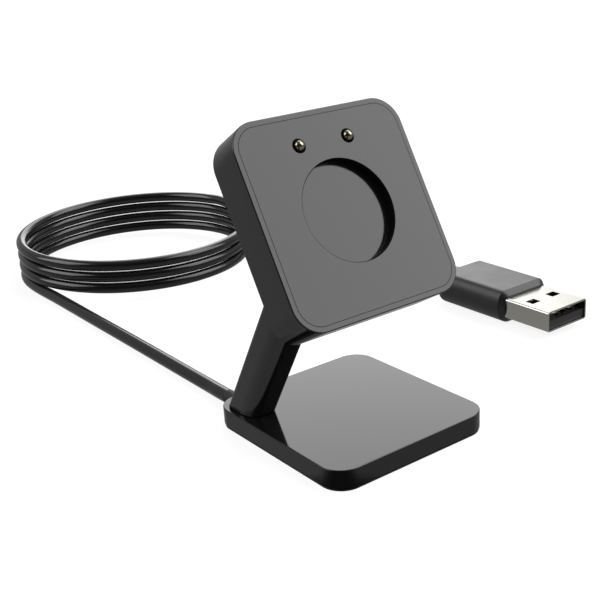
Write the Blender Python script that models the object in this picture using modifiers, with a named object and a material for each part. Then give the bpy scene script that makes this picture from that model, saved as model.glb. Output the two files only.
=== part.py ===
"""Charging stand for a fitness band, with its cord and plug.

A flat weighted base carries a leaning stem and a tilted head in one moulding.
The head's face has a round pocket for the band's sensor and two spring pins.
The cord leaves the base's rear wall, lies coiled, and ends in a flat USB plug.

Frame: metres, +Z up, the head faces -Y. The origin is on the surface that the
stand rests on, below the middle of the stand. Depths in the head are measured
from its face, backwards.
"""

import math

import bmesh
import bpy
from mathutils import Matrix, Vector

MM = 0.001

# Clearances
SEAT_GAP = 0.2 * MM
FIT_GAP = 0.25 * MM
SLIDE_GAP = 0.12 * MM

# Base
BASE_WIDTH = 33.8 * MM
BASE_DEPTH = 35.55 * MM
BASE_TOP = 3.8 * MM
BASE_CORNER = 4.2 * MM
BASE_WALL = 1.2 * MM
BASE_ROOF = 1.0 * MM
BASE_EDGE = 0.2 * MM
PAD_THICKNESS = 0.3 * MM
PAD_INSET = 0.15 * MM
PLATE_THICKNESS = 0.9 * MM
PEG_RADIUS = 1.0 * MM
PEG_INSET = 6.0 * MM

# Stem
STEM_WIDTH = 5.6 * MM
STEM_THICKNESS = 6.46 * MM
STEM_LEAN = math.radians(30.9)
STEM_LENGTH = 19.79 * MM
STEM_SETBACK = 2.805 * MM
STEM_ROUND = 3.2 * MM
STEM_EDGE = 0.8 * MM
TONGUE_INSET_X = 0.8 * MM
TONGUE_INSET_Y = 0.5 * MM
TONGUE_DEPTH = 3.2 * MM
CHANNEL_WIDTH = 2.4 * MM
CHANNEL_THICKNESS = 1.3 * MM
CHANNEL_WALL = 0.85 * MM

# Head
HEAD_WIDTH = 34.95 * MM
HEAD_HEIGHT = 35.98 * MM
HEAD_THICKNESS = 7.68 * MM
HEAD_TILT = math.radians(29.64)
HEAD_CORNER = 4.9 * MM
HEAD_EDGE = 0.25 * MM
HEAD_INSET = 0.9 * MM
HEAD_DROP = 0.75 * MM
HEAD_WALL = 1.2 * MM
RIM_WIDTH = 1.0 * MM
RIM_GROOVE = 0.3 * MM
LEDGE_WIDTH = 0.8 * MM

# Front cover
COVER_THICKNESS = 1.2 * MM
SKIRT_THICKNESS = 0.6 * MM
SKIRT_DEPTH = 1.2 * MM
POCKET_TO_PINS = 3.17 * MM
POCKET_TO_SIDE = 8.345 * MM
POCKET_DEPTH = 3.0 * MM
POCKET_FLOOR = 0.8 * MM
RIB_WALL = 0.6 * MM

# Spring pins
PIN_SPACING = 10.2 * MM
PIN_INSET = 5.69 * MM
PIN_RADIUS = 0.95 * MM
PIN_PROUD = 0.95 * MM
DOME_HEIGHT = 0.35 * MM
PIN_HOLE = 1.25 * MM
PIN_TRAVEL = 0.8 * MM
SPRING_PER_TRAVEL = 2.3
COLLAR_RADIUS = 1.2 * MM
COLLAR_THICKNESS = 0.4 * MM
BARREL_WALL = 0.3 * MM
TAIL_RADIUS = 0.4 * MM
TAIL_PROUD = 0.3 * MM
SPRING_WIRE = 0.2 * MM
SPRING_TURNS = 4

# Circuit board and magnets
BOARD_WIDTH = 15.5 * MM
BOARD_HEIGHT = 5.6 * MM
BOARD_THICKNESS = 0.6 * MM
BOARD_CORNER = 0.6 * MM
BOARD_POST_RADIUS = 0.9 * MM
BOARD_POST_RISE = 1.4 * MM
MAGNET_RADIUS = 2.5 * MM
MAGNET_THICKNESS = 1.6 * MM
MAGNET_FROM_SIDE = 6.65 * MM
MAGNET_FROM_END = 8.99 * MM
POST_RADIUS = 1.5 * MM

# Stem screw
SCREW_RADIUS = 0.8 * MM
SCREW_HEAD_RADIUS = 1.7 * MM
SCREW_HEAD_HEIGHT = 0.5 * MM
SCREW_SOCKET = 0.25 * MM
SCREW_BITE = 3.8 * MM
SCREW_FORWARD = 1.55 * MM

# Cord, gland and inner wires
CORD_RADIUS = 1.35 * MM
CORD_STEP = 3.0 * MM
WIRE_RADIUS = 0.38 * MM
WIRE_PITCH = 0.94 * MM
WIRE_BEHIND_BOARD = 0.1 * MM
WIRE_STEP = 1.5 * MM
WIRE_FOOT = 0.9 * MM
GLAND_RADIUS = 1.45 * MM
GLAND_END_INSET = 0.2 * MM
GLAND_END_BEVEL = 0.4 * MM
GLAND_NECK = 1.15 * MM
GLAND_LENGTH = 4.0 * MM
GLAND_FLANGE = 1.0 * MM
GLAND_SIDE = 1.825 * MM
GLAND_Z = 1.9 * MM
CORD_GAP = 0.3 * MM
COIL_SIDE = 0.24 * MM
COIL_BEHIND = 93.265 * MM
COIL_RADIUS = 28.98 * MM
COIL_LEAD = 13.34 * MM
COIL_LEAVE = 12.84 * MM
COIL_STEP = 0.05 * MM
COIL_DROP = 1.5 * MM
COIL_PITCH = 2.8 * MM
COIL_TURNS = 3.5

# Plug
PLUG_SIDE = 13.07 * MM
PLUG_TIP_Y = 1.19 * MM
SHELL_WIDTH = 12.0 * MM
SHELL_HEIGHT = 4.5 * MM
SHELL_WALL = 0.35 * MM
SHELL_CORNER = 0.6 * MM
SHELL_EXPOSED = 11.6 * MM
SHELL_BURIED = 6.0 * MM
WINDOW_WIDTH = 2.5 * MM
WINDOW_LENGTH = 2.1 * MM
WINDOW_X = 3.1 * MM
WINDOW_Y = 6.6 * MM
GRIP_WIDTH = 15.0 * MM
GRIP_TOP_WIDTH = 12.0 * MM
GRIP_HEIGHT = 7.5 * MM
GRIP_LENGTH = 19.6 * MM
GRIP_CHAMFER = 1.1 * MM
GRIP_REAR_ROUND = 0.8 * MM
NECK_LENGTH = 9.6 * MM
NECK_RADIUS = 3.2 * MM
NECK_END_RADIUS = 2.1 * MM
TONGUE_HEIGHT = 1.8 * MM
TONGUE_RECESS = 0.4 * MM
CONTACT_WIDTH = 1.0 * MM
CONTACT_THICKNESS = 0.3 * MM
CONTACT_PROUD = 0.12 * MM
CONTACT_START = 1.0 * MM
CONTACT_LENGTHS = (7.4 * MM, 6.4 * MM, 6.4 * MM, 7.4 * MM)
CONTACT_X = (-3.5 * MM, -1.0 * MM, 1.0 * MM, 3.5 * MM)

# Places that follow from the sizes
STAND_WIDTH = max(BASE_WIDTH, HEAD_INSET + HEAD_WIDTH)
BASE_LEFT = -STAND_WIDTH / 2
BASE_X = BASE_LEFT + BASE_WIDTH / 2
BASE_REAR = BASE_DEPTH / 2
HEAD_X = BASE_LEFT + HEAD_INSET + HEAD_WIDTH / 2
STEM_X = BASE_LEFT + HEAD_INSET + STEM_WIDTH / 2
GLAND_X = STEM_X + GLAND_SIDE
HOUSING_FOOT = PAD_THICKNESS + SEAT_GAP
PLATE_TOP = HOUSING_FOOT + PLATE_THICKNESS
ROOF_UNDERSIDE = BASE_TOP - BASE_ROOF
STEM_REAR_Y = BASE_REAR - STEM_SETBACK
FOOT_DEPTH = STEM_THICKNESS / math.cos(STEM_LEAN)
STEM_FRONT_Y = STEM_REAR_Y - FOOT_DEPTH
CHANNEL_OFFSET = STEM_THICKNESS / 2 - CHANNEL_WALL - CHANNEL_THICKNESS / 2
SCREW_Y = STEM_FRONT_Y + SCREW_FORWARD
CAVITY_INSET = RIM_WIDTH + LEDGE_WIDTH
CAVITY_DEPTH = HEAD_THICKNESS - HEAD_WALL
RECESS_DEPTH = COVER_THICKNESS + SEAT_GAP
PIN_RISE = HEAD_HEIGHT / 2 - PIN_INSET
POCKET_RADIUS = min(PIN_RISE - POCKET_TO_PINS, HEAD_WIDTH / 2 - POCKET_TO_SIDE)
SPRING_LENGTH = SPRING_PER_TRAVEL * PIN_TRAVEL
BARREL_LENGTH = 2 * BARREL_WALL + 3 * SLIDE_GAP + COLLAR_THICKNESS + SPRING_LENGTH
BARREL_TOP = COVER_THICKNESS + SEAT_GAP
BARREL_END = BARREL_TOP + BARREL_LENGTH
BOARD_FRONT = BARREL_END + SEAT_GAP
BOARD_BACK = BOARD_FRONT + BOARD_THICKNESS
MAGNET_BACK = COVER_THICKNESS + SEAT_GAP + MAGNET_THICKNESS
COIL_CENTRE = Vector((GLAND_X + COIL_SIDE + COIL_RADIUS, BASE_REAR + COIL_BEHIND))
PLUG_TIP = Vector((COIL_CENTRE.x + COIL_RADIUS + PLUG_SIDE, PLUG_TIP_Y))
PLUG_AXIS_Z = GRIP_HEIGHT / 2
PAST = 2.0 * MM

# Routes. Wires: shares of the way from the stem's channel to the pin's tail, across and up.
# Stand run: share of its length, sideways in cord radii, share of the gland's height.
# Plug run: share of its length, share of its sideways way, shares of the coil's and the
# plug's heights.
WIRE_ROUTES = {
    "positive": [(0.05, 0.34), (0.08, 0.5), (0.9, 0.85)],
    "negative": [(0.03, 0.29), (0.07, 0.45), (0.24, 0.63), (0.68, 0.72), (1.05, 0.82)],
}
STAND_RUN = [(0, 0, 1), (0.04, 0.15, 0.58), (0.093, 0.385, 0.08), (0.186, 0.42, 0), (0.5, 0.42, 0),
             (0.79, 0.35, 0), (1, 0.31, 0)]
PLUG_RUN = [(0, 0, 1, 0), (0.129, 0.058, 0.711, 0), (0.29, 0.196, 0.277, 0), (0.433, 0.38, 0.036, 0),
            (0.576, 0.595, 0, 0), (0.737, 0.841, 0, 0.04), (0.88, 0.972, 0, 0.45), (1, 1, 0, 1)]

STEM_WAY = Vector((0, -math.sin(STEM_LEAN), math.cos(STEM_LEAN)))
FACE_UP = Vector((0, math.sin(HEAD_TILT), math.cos(HEAD_TILT)))
FACE_OUT = Vector((0, -math.cos(HEAD_TILT), math.sin(HEAD_TILT)))


def clear_scene():
    """Removes the objects of the scene that the script starts in."""
    for old in list(bpy.data.objects):
        bpy.data.objects.remove(old, do_unlink=True)


def new_collection(name):
    """Adds a collection to the scene."""
    made = bpy.data.collections.new(name)
    bpy.context.scene.collection.children.link(made)
    return made


clear_scene()
PARTS = new_collection("charging_stand")
CUTTERS = new_collection("cutters")


def material(name, colour, roughness, metallic=0.0):
    """A Principled material, made once for each name."""
    made = bpy.data.materials.get(name)
    if made is None:
        made = bpy.data.materials.new(name)
        made.use_nodes = True
        shader = made.node_tree.nodes["Principled BSDF"]
        shader.inputs["Base Color"].default_value = (*colour, 1.0)
        shader.inputs["Roughness"].default_value = roughness
        shader.inputs["Metallic"].default_value = metallic
    return made


def housing_plastic():
    return material("housing_plastic", (0.045, 0.045, 0.047), 0.35)


def rubber():
    return material("rubber", (0.02, 0.02, 0.02), 0.7)


def cord_jacket():
    return material("cord_jacket", (0.035, 0.035, 0.037), 0.4)


def steel():
    return material("steel", (0.55, 0.56, 0.58), 0.35, 1.0)


def gold():
    return material("gold_plating", (0.83, 0.62, 0.28), 0.25, 1.0)


def place(obj, parent=None, cutter=False, finish=None):
    """Puts an object in its collection, under its parent, with its material."""
    (CUTTERS if cutter else PARTS).objects.link(obj)
    obj.parent = parent
    if cutter:
        obj.hide_render = True
        obj.display_type = "WIRE"
    if finish is not None:
        obj.data.materials.append(finish)
    return obj


def shade_round(mesh):
    """Shades a mesh smooth, apart from its sharp edges."""
    mesh.shade_smooth()
    mesh.set_sharp_from_angle(angle=math.radians(35))


def frame_empty(name, location, turn_x=0.0):
    """An empty that carries the pieces modelled in its own directions."""
    holder = bpy.data.objects.new(name, None)
    holder.location = location
    holder.rotation_euler = (turn_x, 0, 0)
    holder.empty_display_size = 5 * MM
    PARTS.objects.link(holder)
    return holder


def rounded_polygon(corners, steps=6):
    """Points round a polygon given as (x, y, radius) anticlockwise, with its corners as arcs."""
    points = []
    for index, (x, y, radius) in enumerate(corners):
        corner = Vector((x, y))
        before = Vector(corners[index - 1][:2])
        after = Vector(corners[(index + 1) % len(corners)][:2])
        back = (before - corner).normalized()
        ahead = (after - corner).normalized()
        if radius <= 0:
            points.append((x, y))
            continue
        half = back.angle(ahead) / 2
        centre = corner + (back + ahead).normalized() * (radius / math.sin(half))
        start = corner + back * (radius / math.tan(half)) - centre
        turn = math.pi - 2 * half
        for step in range(steps + 1):
            angle = turn * step / steps
            arm = Matrix.Rotation(angle, 2) @ start
            points.append(tuple(centre + arm))
    return points


def rounded_rectangle(width, height, radius, centre=(0, 0), steps=6):
    """Outline of a rectangle with equal round corners."""
    x, y = centre
    left, right = x - width / 2, x + width / 2
    low, high = y - height / 2, y + height / 2
    return rounded_polygon(
        [(left, low, radius), (right, low, radius), (right, high, radius), (left, high, radius)], steps)


def circle(radius, centre=(0, 0), steps=24):
    """Outline of a circle."""
    return [(centre[0] + radius * math.cos(2 * math.pi * i / steps),
             centre[1] + radius * math.sin(2 * math.pi * i / steps)) for i in range(steps)]


def curve_to_mesh(obj, name):
    """Turns a curve object into a mesh object of the same place, with its caps welded on."""
    bpy.context.view_layer.update()
    seen = obj.evaluated_get(bpy.context.evaluated_depsgraph_get())
    mesh = bpy.data.meshes.new_from_object(seen)
    bm = bmesh.new()
    bm.from_mesh(mesh)
    bmesh.ops.remove_doubles(bm, verts=bm.verts, dist=1e-7)
    bmesh.ops.recalc_face_normals(bm, faces=bm.faces)
    bm.to_mesh(mesh)
    bm.free()
    mesh.materials.clear()
    solid = bpy.data.objects.new(name, mesh)
    solid.matrix_world = obj.matrix_world
    curve = obj.data
    bpy.data.objects.remove(obj)
    bpy.data.curves.remove(curve)
    return solid


def slab(name, outline, low, high, parent=None, cutter=False, finish=None, edge=0.0):
    """A flat outline in local X and Y, as thick as from low to high along local Z."""
    flat = bpy.data.curves.new(name, "CURVE")
    flat.dimensions = "2D"
    flat.fill_mode = "BOTH"
    flat.extrude = (high - low) / 2
    spline = flat.splines.new("POLY")
    spline.points.add(len(outline) - 1)
    for point, (x, y) in zip(spline.points, outline):
        point.co = (x, y, 0, 1)
    spline.use_cyclic_u = True
    drawn = bpy.data.objects.new(name + "_outline", flat)
    PARTS.objects.link(drawn)
    solid = curve_to_mesh(drawn, name)
    solid.location = (0, 0, (low + high) / 2)
    place(solid, parent, cutter, finish)
    if edge > 0:
        ease = solid.modifiers.new("edge", "BEVEL")
        ease.width = edge
        ease.segments = 2
        ease.limit_method = "ANGLE"
        ease.angle_limit = math.radians(50)
    shade_round(solid.data)
    return solid


def turned(name, profile, parent=None, cutter=False, finish=None, steps=24, closed=False):
    """A profile of (radius, height) turned round local Z; its outer side runs downwards."""
    mesh = bpy.data.meshes.new(name)
    points = [(radius, 0, height) for radius, height in profile]
    edges = [(i, i + 1) for i in range(len(points) - 1)]
    if closed:
        edges.append((len(points) - 1, 0))
    mesh.from_pydata(points, edges, [])
    solid = bpy.data.objects.new(name, mesh)
    place(solid, parent, cutter, finish)
    lathe = solid.modifiers.new("lathe", "SCREW")
    lathe.axis = "Z"
    lathe.steps = steps
    lathe.render_steps = steps
    lathe.use_merge_vertices = True
    lathe.merge_threshold = 1e-6
    lathe.use_smooth_shade = True
    return solid


def cylinder(name, radius, low, high, centre=(0, 0), parent=None, cutter=True, steps=24):
    """An upright round bar in local directions."""
    return slab(name, circle(radius, centre, steps), low, high, parent, cutter)


def loft(name, sections, parent=None, cutter=False, finish=None):
    """A solid through outlines of equally many points, each given with its height along local Z."""
    mesh = bpy.data.meshes.new(name)
    bm = bmesh.new()
    rings = [[bm.verts.new((x, y, height)) for x, y in outline] for height, outline in sections]
    for lower, upper in zip(rings, rings[1:]):
        for index in range(len(lower)):
            after = (index + 1) % len(lower)
            bm.faces.new((lower[index], lower[after], upper[after], upper[index]))
    bm.faces.new(rings[0])
    bm.faces.new(rings[-1])
    bmesh.ops.recalc_face_normals(bm, faces=bm.faces)
    bm.to_mesh(mesh)
    bm.free()
    solid = bpy.data.objects.new(name, mesh)
    place(solid, parent, cutter, finish)
    shade_round(mesh)
    return solid


def boolean(target, tool, operation):
    """Adds one exact Boolean step to an object."""
    step = target.modifiers.new(tool.name, "BOOLEAN")
    step.object = tool
    step.operation = operation
    step.solver = "EXACT"


def cut(target, *tools):
    for tool in tools:
        boolean(target, tool, "DIFFERENCE")


def join(target, *tools):
    for tool in tools:
        boolean(target, tool, "UNION")


def smooth_path(route, spacing):
    """Points read every spacing from a Catmull-Rom curve through the route's points."""
    knots = [Vector(p) for p in route]
    knots.insert(0, 2 * knots[0] - knots[1])
    knots.append(2 * knots[-1] - knots[-2])
    fine = []
    for a, b, c, d in zip(knots, knots[1:], knots[2:], knots[3:]):
        for step in range(24):
            t = step / 24
            fine.append(0.5 * (2 * b + (c - a) * t + (2 * a - 5 * b + 4 * c - d) * t ** 2
                               + (3 * b - a - 3 * c + d) * t ** 3))
    fine.append(knots[-2])
    lengths = [0.0]
    for p, q in zip(fine, fine[1:]):
        lengths.append(lengths[-1] + (q - p).length)
    count = max(2, round(lengths[-1] / spacing))
    path = []
    reached = 0
    for index in range(count + 1):
        wanted = lengths[-1] * index / count
        while reached < len(lengths) - 2 and lengths[reached + 1] < wanted:
            reached += 1
        span = lengths[reached + 1] - lengths[reached]
        share = (wanted - lengths[reached]) / span
        path.append(fine[reached].lerp(fine[reached + 1], share))
    return path


def tube(name, path, radius, finish, parent=None):
    """A round tube with closed ends along a list of points."""
    line = bpy.data.curves.new(name, "CURVE")
    line.dimensions = "3D"
    line.bevel_depth = radius
    line.bevel_resolution = 2
    line.use_fill_caps = True
    spline = line.splines.new("POLY")
    spline.points.add(len(path) - 1)
    for point, spot in zip(spline.points, path):
        point.co = (*spot, 1)
    return place(bpy.data.objects.new(name, line), parent, finish=finish)


# Frames of the leaning stem and the tilted head. The stem's foot is on the base's
# top, and the head hangs on the line where the stem's front meets its back.
STEM_FOOT = Vector((HEAD_X, (STEM_FRONT_Y + STEM_REAR_Y) / 2, BASE_TOP))
HEAD_HEEL = (Vector((HEAD_X, STEM_FRONT_Y, BASE_TOP)) + STEM_WAY * STEM_LENGTH - FACE_UP * HEAD_DROP)
FACE_CENTRE = HEAD_HEEL + FACE_OUT * HEAD_THICKNESS + FACE_UP * (HEAD_HEIGHT / 2)
STEM_FRAME = frame_empty("stem_frame", STEM_FOOT, STEM_LEAN)
HEAD_FRAME = frame_empty("head_frame", FACE_CENTRE, math.pi / 2 - HEAD_TILT)


def head_point(across, up, depth):
    """World place of a point given on the head's face and behind it."""
    return FACE_CENTRE + Vector((across, 0, 0)) + FACE_UP * up - FACE_OUT * depth


def base_outline(inset):
    """The base's outline, set in from its sides."""
    return rounded_rectangle(BASE_WIDTH - 2 * inset, BASE_DEPTH - 2 * inset,
                             max(BASE_CORNER - inset, 0.5 * MM), (BASE_X, 0))


def peg_places():
    """The base's locating pegs, in every corner but the one that holds the stem's foot."""
    x = BASE_WIDTH / 2 - PEG_INSET
    y = BASE_DEPTH / 2 - PEG_INSET
    return [(BASE_X + x, y), (BASE_X + x, -y), (BASE_X - x, -y)]


def foot_outline(depth, grow=0.0):
    """A rectangle under the stem's foot, from its front backwards, grown on all sides."""
    width = STEM_WIDTH - 2 * TONGUE_INSET_X + 2 * grow
    front = STEM_FRONT_Y + TONGUE_INSET_Y
    return rounded_rectangle(width, depth + 2 * grow, 0.5 * MM, (STEM_X, front + depth / 2), 3)


def gland_slot(name, radius, front, rear):
    """Cutter for the gland: a round-topped slot along Y, open below."""
    low = -GLAND_Z
    outline = [(-radius, low)]
    outline += [(radius * math.cos(a), radius * math.sin(a))
                for a in (math.pi - math.pi * i / 12 for i in range(13))]
    outline += [(radius, low)]
    outline.reverse()
    holder = frame_empty(name + "_frame", (GLAND_X, 0, GLAND_Z), math.pi / 2)
    return slab(name, outline, -rear, -front, holder, cutter=True)


def base():
    """Housing, bottom plate, steel weight and rubber pad of the base."""
    housing = slab("base_housing", base_outline(0), HOUSING_FOOT, BASE_TOP, finish=housing_plastic(),
                   edge=BASE_EDGE)
    cut(housing, slab("base_cavity", base_outline(BASE_WALL), HOUSING_FOOT - PAST, ROOF_UNDERSIDE,
                      cutter=True))
    peg_foot = PLATE_TOP + SEAT_GAP
    for index, spot in enumerate(peg_places(), 1):
        join(housing, cylinder(f"peg_{index}", PEG_RADIUS, peg_foot, BASE_TOP - BASE_ROOF / 2, spot))
    cut(housing, slab("tongue_slot", foot_outline(FOOT_DEPTH - 2 * TONGUE_INSET_Y, FIT_GAP), 0,
                      BASE_TOP + PAST, cutter=True))

    inner_wall = BASE_REAR - BASE_WALL
    flange_front = inner_wall - 2 * FIT_GAP - GLAND_FLANGE
    wall_slot = gland_slot("wall_slot", GLAND_NECK + SEAT_GAP, inner_wall - FIT_GAP, BASE_REAR + PAST)
    inner_slot = gland_slot("inner_slot", GLAND_RADIUS + SEAT_GAP, flange_front - FIT_GAP, inner_wall)
    cut(housing, wall_slot, inner_slot)

    plate_inset = BASE_WALL + FIT_GAP
    plate = slab("base_plate", base_outline(plate_inset), HOUSING_FOOT, PLATE_TOP,
                 finish=housing_plastic())
    screw_way = cylinder("screw_way", SCREW_RADIUS + SEAT_GAP, 0, PLATE_TOP + PAST, (STEM_X, SCREW_Y))
    head_way = cylinder("screw_head_way", SCREW_HEAD_RADIUS + SEAT_GAP, 0,
                        HOUSING_FOOT + SCREW_HEAD_HEIGHT, (STEM_X, SCREW_Y))
    cut(plate, screw_way, head_way, inner_slot)

    weight_low = PLATE_TOP + SEAT_GAP
    weight_high = ROOF_UNDERSIDE - SEAT_GAP
    weight = slab("base_weight", base_outline(plate_inset), weight_low, weight_high, finish=steel())
    notch_right = max(STEM_X + STEM_WIDTH / 2, GLAND_X + GLAND_RADIUS) + FIT_GAP
    notch_left = BASE_LEFT - PAST
    notch_front = STEM_FRONT_Y - FIT_GAP
    notch_rear = BASE_REAR + PAST
    notch = slab("weight_notch", [(notch_left, notch_front), (notch_right, notch_front),
                                  (notch_right, notch_rear), (notch_left, notch_rear)],
                 0, BASE_TOP, cutter=True)
    cut(weight, notch)
    for index, spot in enumerate(peg_places(), 1):
        cut(weight, cylinder(f"peg_hole_{index}", PEG_RADIUS + FIT_GAP, 0, BASE_TOP, spot))

    slab("foot_pad", base_outline(PAD_INSET), 0, PAD_THICKNESS, finish=rubber())


def stem_section(front_left):
    """End view of the stem, with the radius of its front left edge."""
    left = -HEAD_WIDTH / 2
    right = left + STEM_WIDTH
    half = STEM_THICKNESS / 2
    return rounded_polygon([(left, -half, front_left), (right, -half, STEM_EDGE),
                            (right, half, STEM_EDGE), (left, half, STEM_EDGE)], 8)


def stem_solid():
    """The stem: a leaning bar that ends on the base's roof and inside the head's back wall."""
    reach = STEM_LENGTH + STEM_THICKNESS + HEAD_THICKNESS + PAST
    bar = loft("stem_bar", [(-FOOT_DEPTH, stem_section(STEM_ROUND)), (0, stem_section(STEM_ROUND)),
                            (STEM_LENGTH, stem_section(STEM_EDGE)), (reach, stem_section(STEM_EDGE))],
               STEM_FRAME, cutter=True)
    wide = HEAD_WIDTH + HEAD_HEIGHT + STEM_LENGTH
    below = slab("below_foot", rounded_rectangle(wide, wide, 0), BASE_TOP + SEAT_GAP - wide,
                 BASE_TOP + SEAT_GAP, cutter=True)
    ahead = slab("ahead_of_back", rounded_rectangle(wide, wide, 0), HEAD_WALL / 2 - HEAD_THICKNESS,
                 wide, HEAD_FRAME, cutter=True)
    cut(bar, below, ahead)
    return bar


def head_outline(inset):
    """The head's outline, set in from its sides."""
    return rounded_rectangle(HEAD_WIDTH - 2 * inset, HEAD_HEIGHT - 2 * inset,
                             max(HEAD_CORNER - inset, 0.5 * MM), steps=8)


def magnet_places():
    x = HEAD_WIDTH / 2 - MAGNET_FROM_SIDE
    y = HEAD_HEIGHT / 2 - MAGNET_FROM_END
    return [(-x, y), (x, y), (-x, -y), (x, -y)]


def pin_places():
    return {"left": (-PIN_SPACING / 2, PIN_RISE), "right": (PIN_SPACING / 2, PIN_RISE)}


def stem_and_head():
    """One moulding: the head's shell with its rim, ledge and posts, the hollow stem and its tongue."""
    housing = slab("stem_and_head_housing", head_outline(0), -HEAD_THICKNESS, 0, HEAD_FRAME,
                   finish=housing_plastic(), edge=HEAD_EDGE)
    tongue = slab("tongue", foot_outline(TONGUE_DEPTH), PLATE_TOP + SEAT_GAP, BASE_TOP + 2 * SEAT_GAP,
                  cutter=True)
    join(housing, stem_solid(), tongue)
    cut(housing, slab("cover_recess", head_outline(RIM_WIDTH), -RECESS_DEPTH, PAST, HEAD_FRAME, True),
        slab("head_cavity", head_outline(CAVITY_INSET), -CAVITY_DEPTH, 0, HEAD_FRAME, True))
    post_foot = HEAD_WALL / 2 - HEAD_THICKNESS
    for index, spot in enumerate(magnet_places(), 1):
        join(housing, cylinder(f"magnet_post_{index}", POST_RADIUS, post_foot, -MAGNET_BACK - SEAT_GAP,
                               spot, HEAD_FRAME, steps=16))
    for side, (across, up) in pin_places().items():
        outward = math.copysign(BOARD_WIDTH / 2 - BOARD_POST_RADIUS, across)
        spot = (outward, up + BOARD_POST_RISE)
        join(housing, cylinder(f"board_post_{side}", BOARD_POST_RADIUS, post_foot,
                               -BOARD_BACK - SEAT_GAP, spot, HEAD_FRAME, steps=16))
    channel = rounded_rectangle(CHANNEL_WIDTH, CHANNEL_THICKNESS, CHANNEL_THICKNESS * 0.4,
                                (STEM_X - HEAD_X, CHANNEL_OFFSET), 4)
    cut(housing, slab("wire_channel", channel, -2 * BASE_TOP, STEM_LENGTH + STEM_THICKNESS, STEM_FRAME,
                      cutter=True))
    pilot_top = PLATE_TOP + SEAT_GAP + SCREW_BITE + FIT_GAP
    cut(housing, cylinder("screw_pilot", SCREW_RADIUS + SLIDE_GAP, 0, pilot_top, (STEM_X, SCREW_Y)))


def front_cover():
    """The inset face panel: pocket bowl, skirt, magnet rings, pin sleeves and pin holes."""
    inset = RIM_WIDTH + RIM_GROOVE
    panel = slab("front_cover", head_outline(inset), -COVER_THICKNESS, 0, HEAD_FRAME,
                 finish=housing_plastic())
    inside = -COVER_THICKNESS / 2
    skirt_inset = CAVITY_INSET + FIT_GAP
    skirt_end = -COVER_THICKNESS - SKIRT_DEPTH
    skirt = slab("cover_skirt", head_outline(skirt_inset), skirt_end, inside, HEAD_FRAME, True)
    cut(skirt, slab("skirt_hollow", head_outline(skirt_inset + SKIRT_THICKNESS), skirt_end - PAST,
                    -COVER_THICKNESS, HEAD_FRAME, True))
    bowl = cylinder("pocket_bowl", POCKET_RADIUS + POCKET_FLOOR, -POCKET_DEPTH - POCKET_FLOOR, inside,
                    parent=HEAD_FRAME, steps=64)
    join(panel, skirt, bowl)
    hole = MAGNET_RADIUS + FIT_GAP
    bore = COLLAR_RADIUS + SLIDE_GAP + BARREL_WALL + SEAT_GAP
    for index, spot in enumerate(magnet_places(), 1):
        join(panel, cylinder(f"magnet_ring_{index}", hole + RIB_WALL, -MAGNET_BACK, inside, spot,
                             HEAD_FRAME))
    for side, spot in pin_places().items():
        join(panel, cylinder(f"pin_sleeve_{side}", bore + RIB_WALL, -BARREL_TOP - BARREL_LENGTH / 2,
                             inside, spot, HEAD_FRAME))
    for index, spot in enumerate(magnet_places(), 1):
        cut(panel, cylinder(f"magnet_seat_{index}", hole, -MAGNET_BACK - PAST, -COVER_THICKNESS, spot,
                            HEAD_FRAME))
    for side, spot in pin_places().items():
        cut(panel, cylinder(f"barrel_seat_{side}", bore, -BARREL_END, -COVER_THICKNESS, spot,
                            HEAD_FRAME))
        cut(panel, cylinder(f"pin_hole_{side}", PIN_HOLE, -COVER_THICKNESS - PAST / 2, PAST, spot,
                            HEAD_FRAME))
    cut(panel, cylinder("sensor_pocket", POCKET_RADIUS, -POCKET_DEPTH, PAST, parent=HEAD_FRAME,
                        steps=64))


def spring_pin(side, spot):
    """A plunger with its barrel and spring. The plunger's origin is on its axis, on the face."""
    axis = frame_empty(f"pin_axis_{side}", (*spot, 0))
    axis.parent = HEAD_FRAME
    lip = BARREL_WALL
    collar_top = -(BARREL_TOP + lip + SLIDE_GAP)
    collar_end = collar_top - COLLAR_THICKNESS
    shoulder = PIN_PROUD - DOME_HEIGHT
    dome = [(PIN_RADIUS * math.sin(a), shoulder + DOME_HEIGHT * math.cos(a))
            for a in (math.pi / 2 * i / 6 for i in range(7))]
    dome[0] = (0, PIN_PROUD)
    turned(f"pin_{side}", dome + [(PIN_RADIUS, collar_top), (COLLAR_RADIUS, collar_top),
                                  (COLLAR_RADIUS, collar_end), (0, collar_end)], axis, finish=gold())
    bore = COLLAR_RADIUS + SLIDE_GAP
    mouth = PIN_RADIUS + SLIDE_GAP
    outer = bore + BARREL_WALL
    bore_end = -(BARREL_END - BARREL_WALL)
    tail_end = -(BOARD_BACK + TAIL_PROUD)
    turned(f"pin_barrel_{side}", [(0, bore_end), (bore, bore_end), (bore, -(BARREL_TOP + lip)),
                                  (mouth, -(BARREL_TOP + lip)), (mouth, -BARREL_TOP),
                                  (outer, -BARREL_TOP), (outer, -BARREL_END),
                                  (TAIL_RADIUS, -BARREL_END), (TAIL_RADIUS, tail_end), (0, tail_end)],
           axis, finish=gold())
    foot = bore_end + SLIDE_GAP + SPRING_WIRE / 2
    top = foot + SPRING_LENGTH - SPRING_WIRE
    coil_radius = bore - SLIDE_GAP - SPRING_WIRE / 2
    steps = 10 * SPRING_TURNS
    helix = [(coil_radius * math.cos(math.tau * SPRING_TURNS * i / steps),
              coil_radius * math.sin(math.tau * SPRING_TURNS * i / steps),
              foot + (top - foot) * i / steps) for i in range(steps + 1)]
    tube(f"pin_spring_{side}", helix, SPRING_WIRE / 2, steel(), axis)


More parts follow.
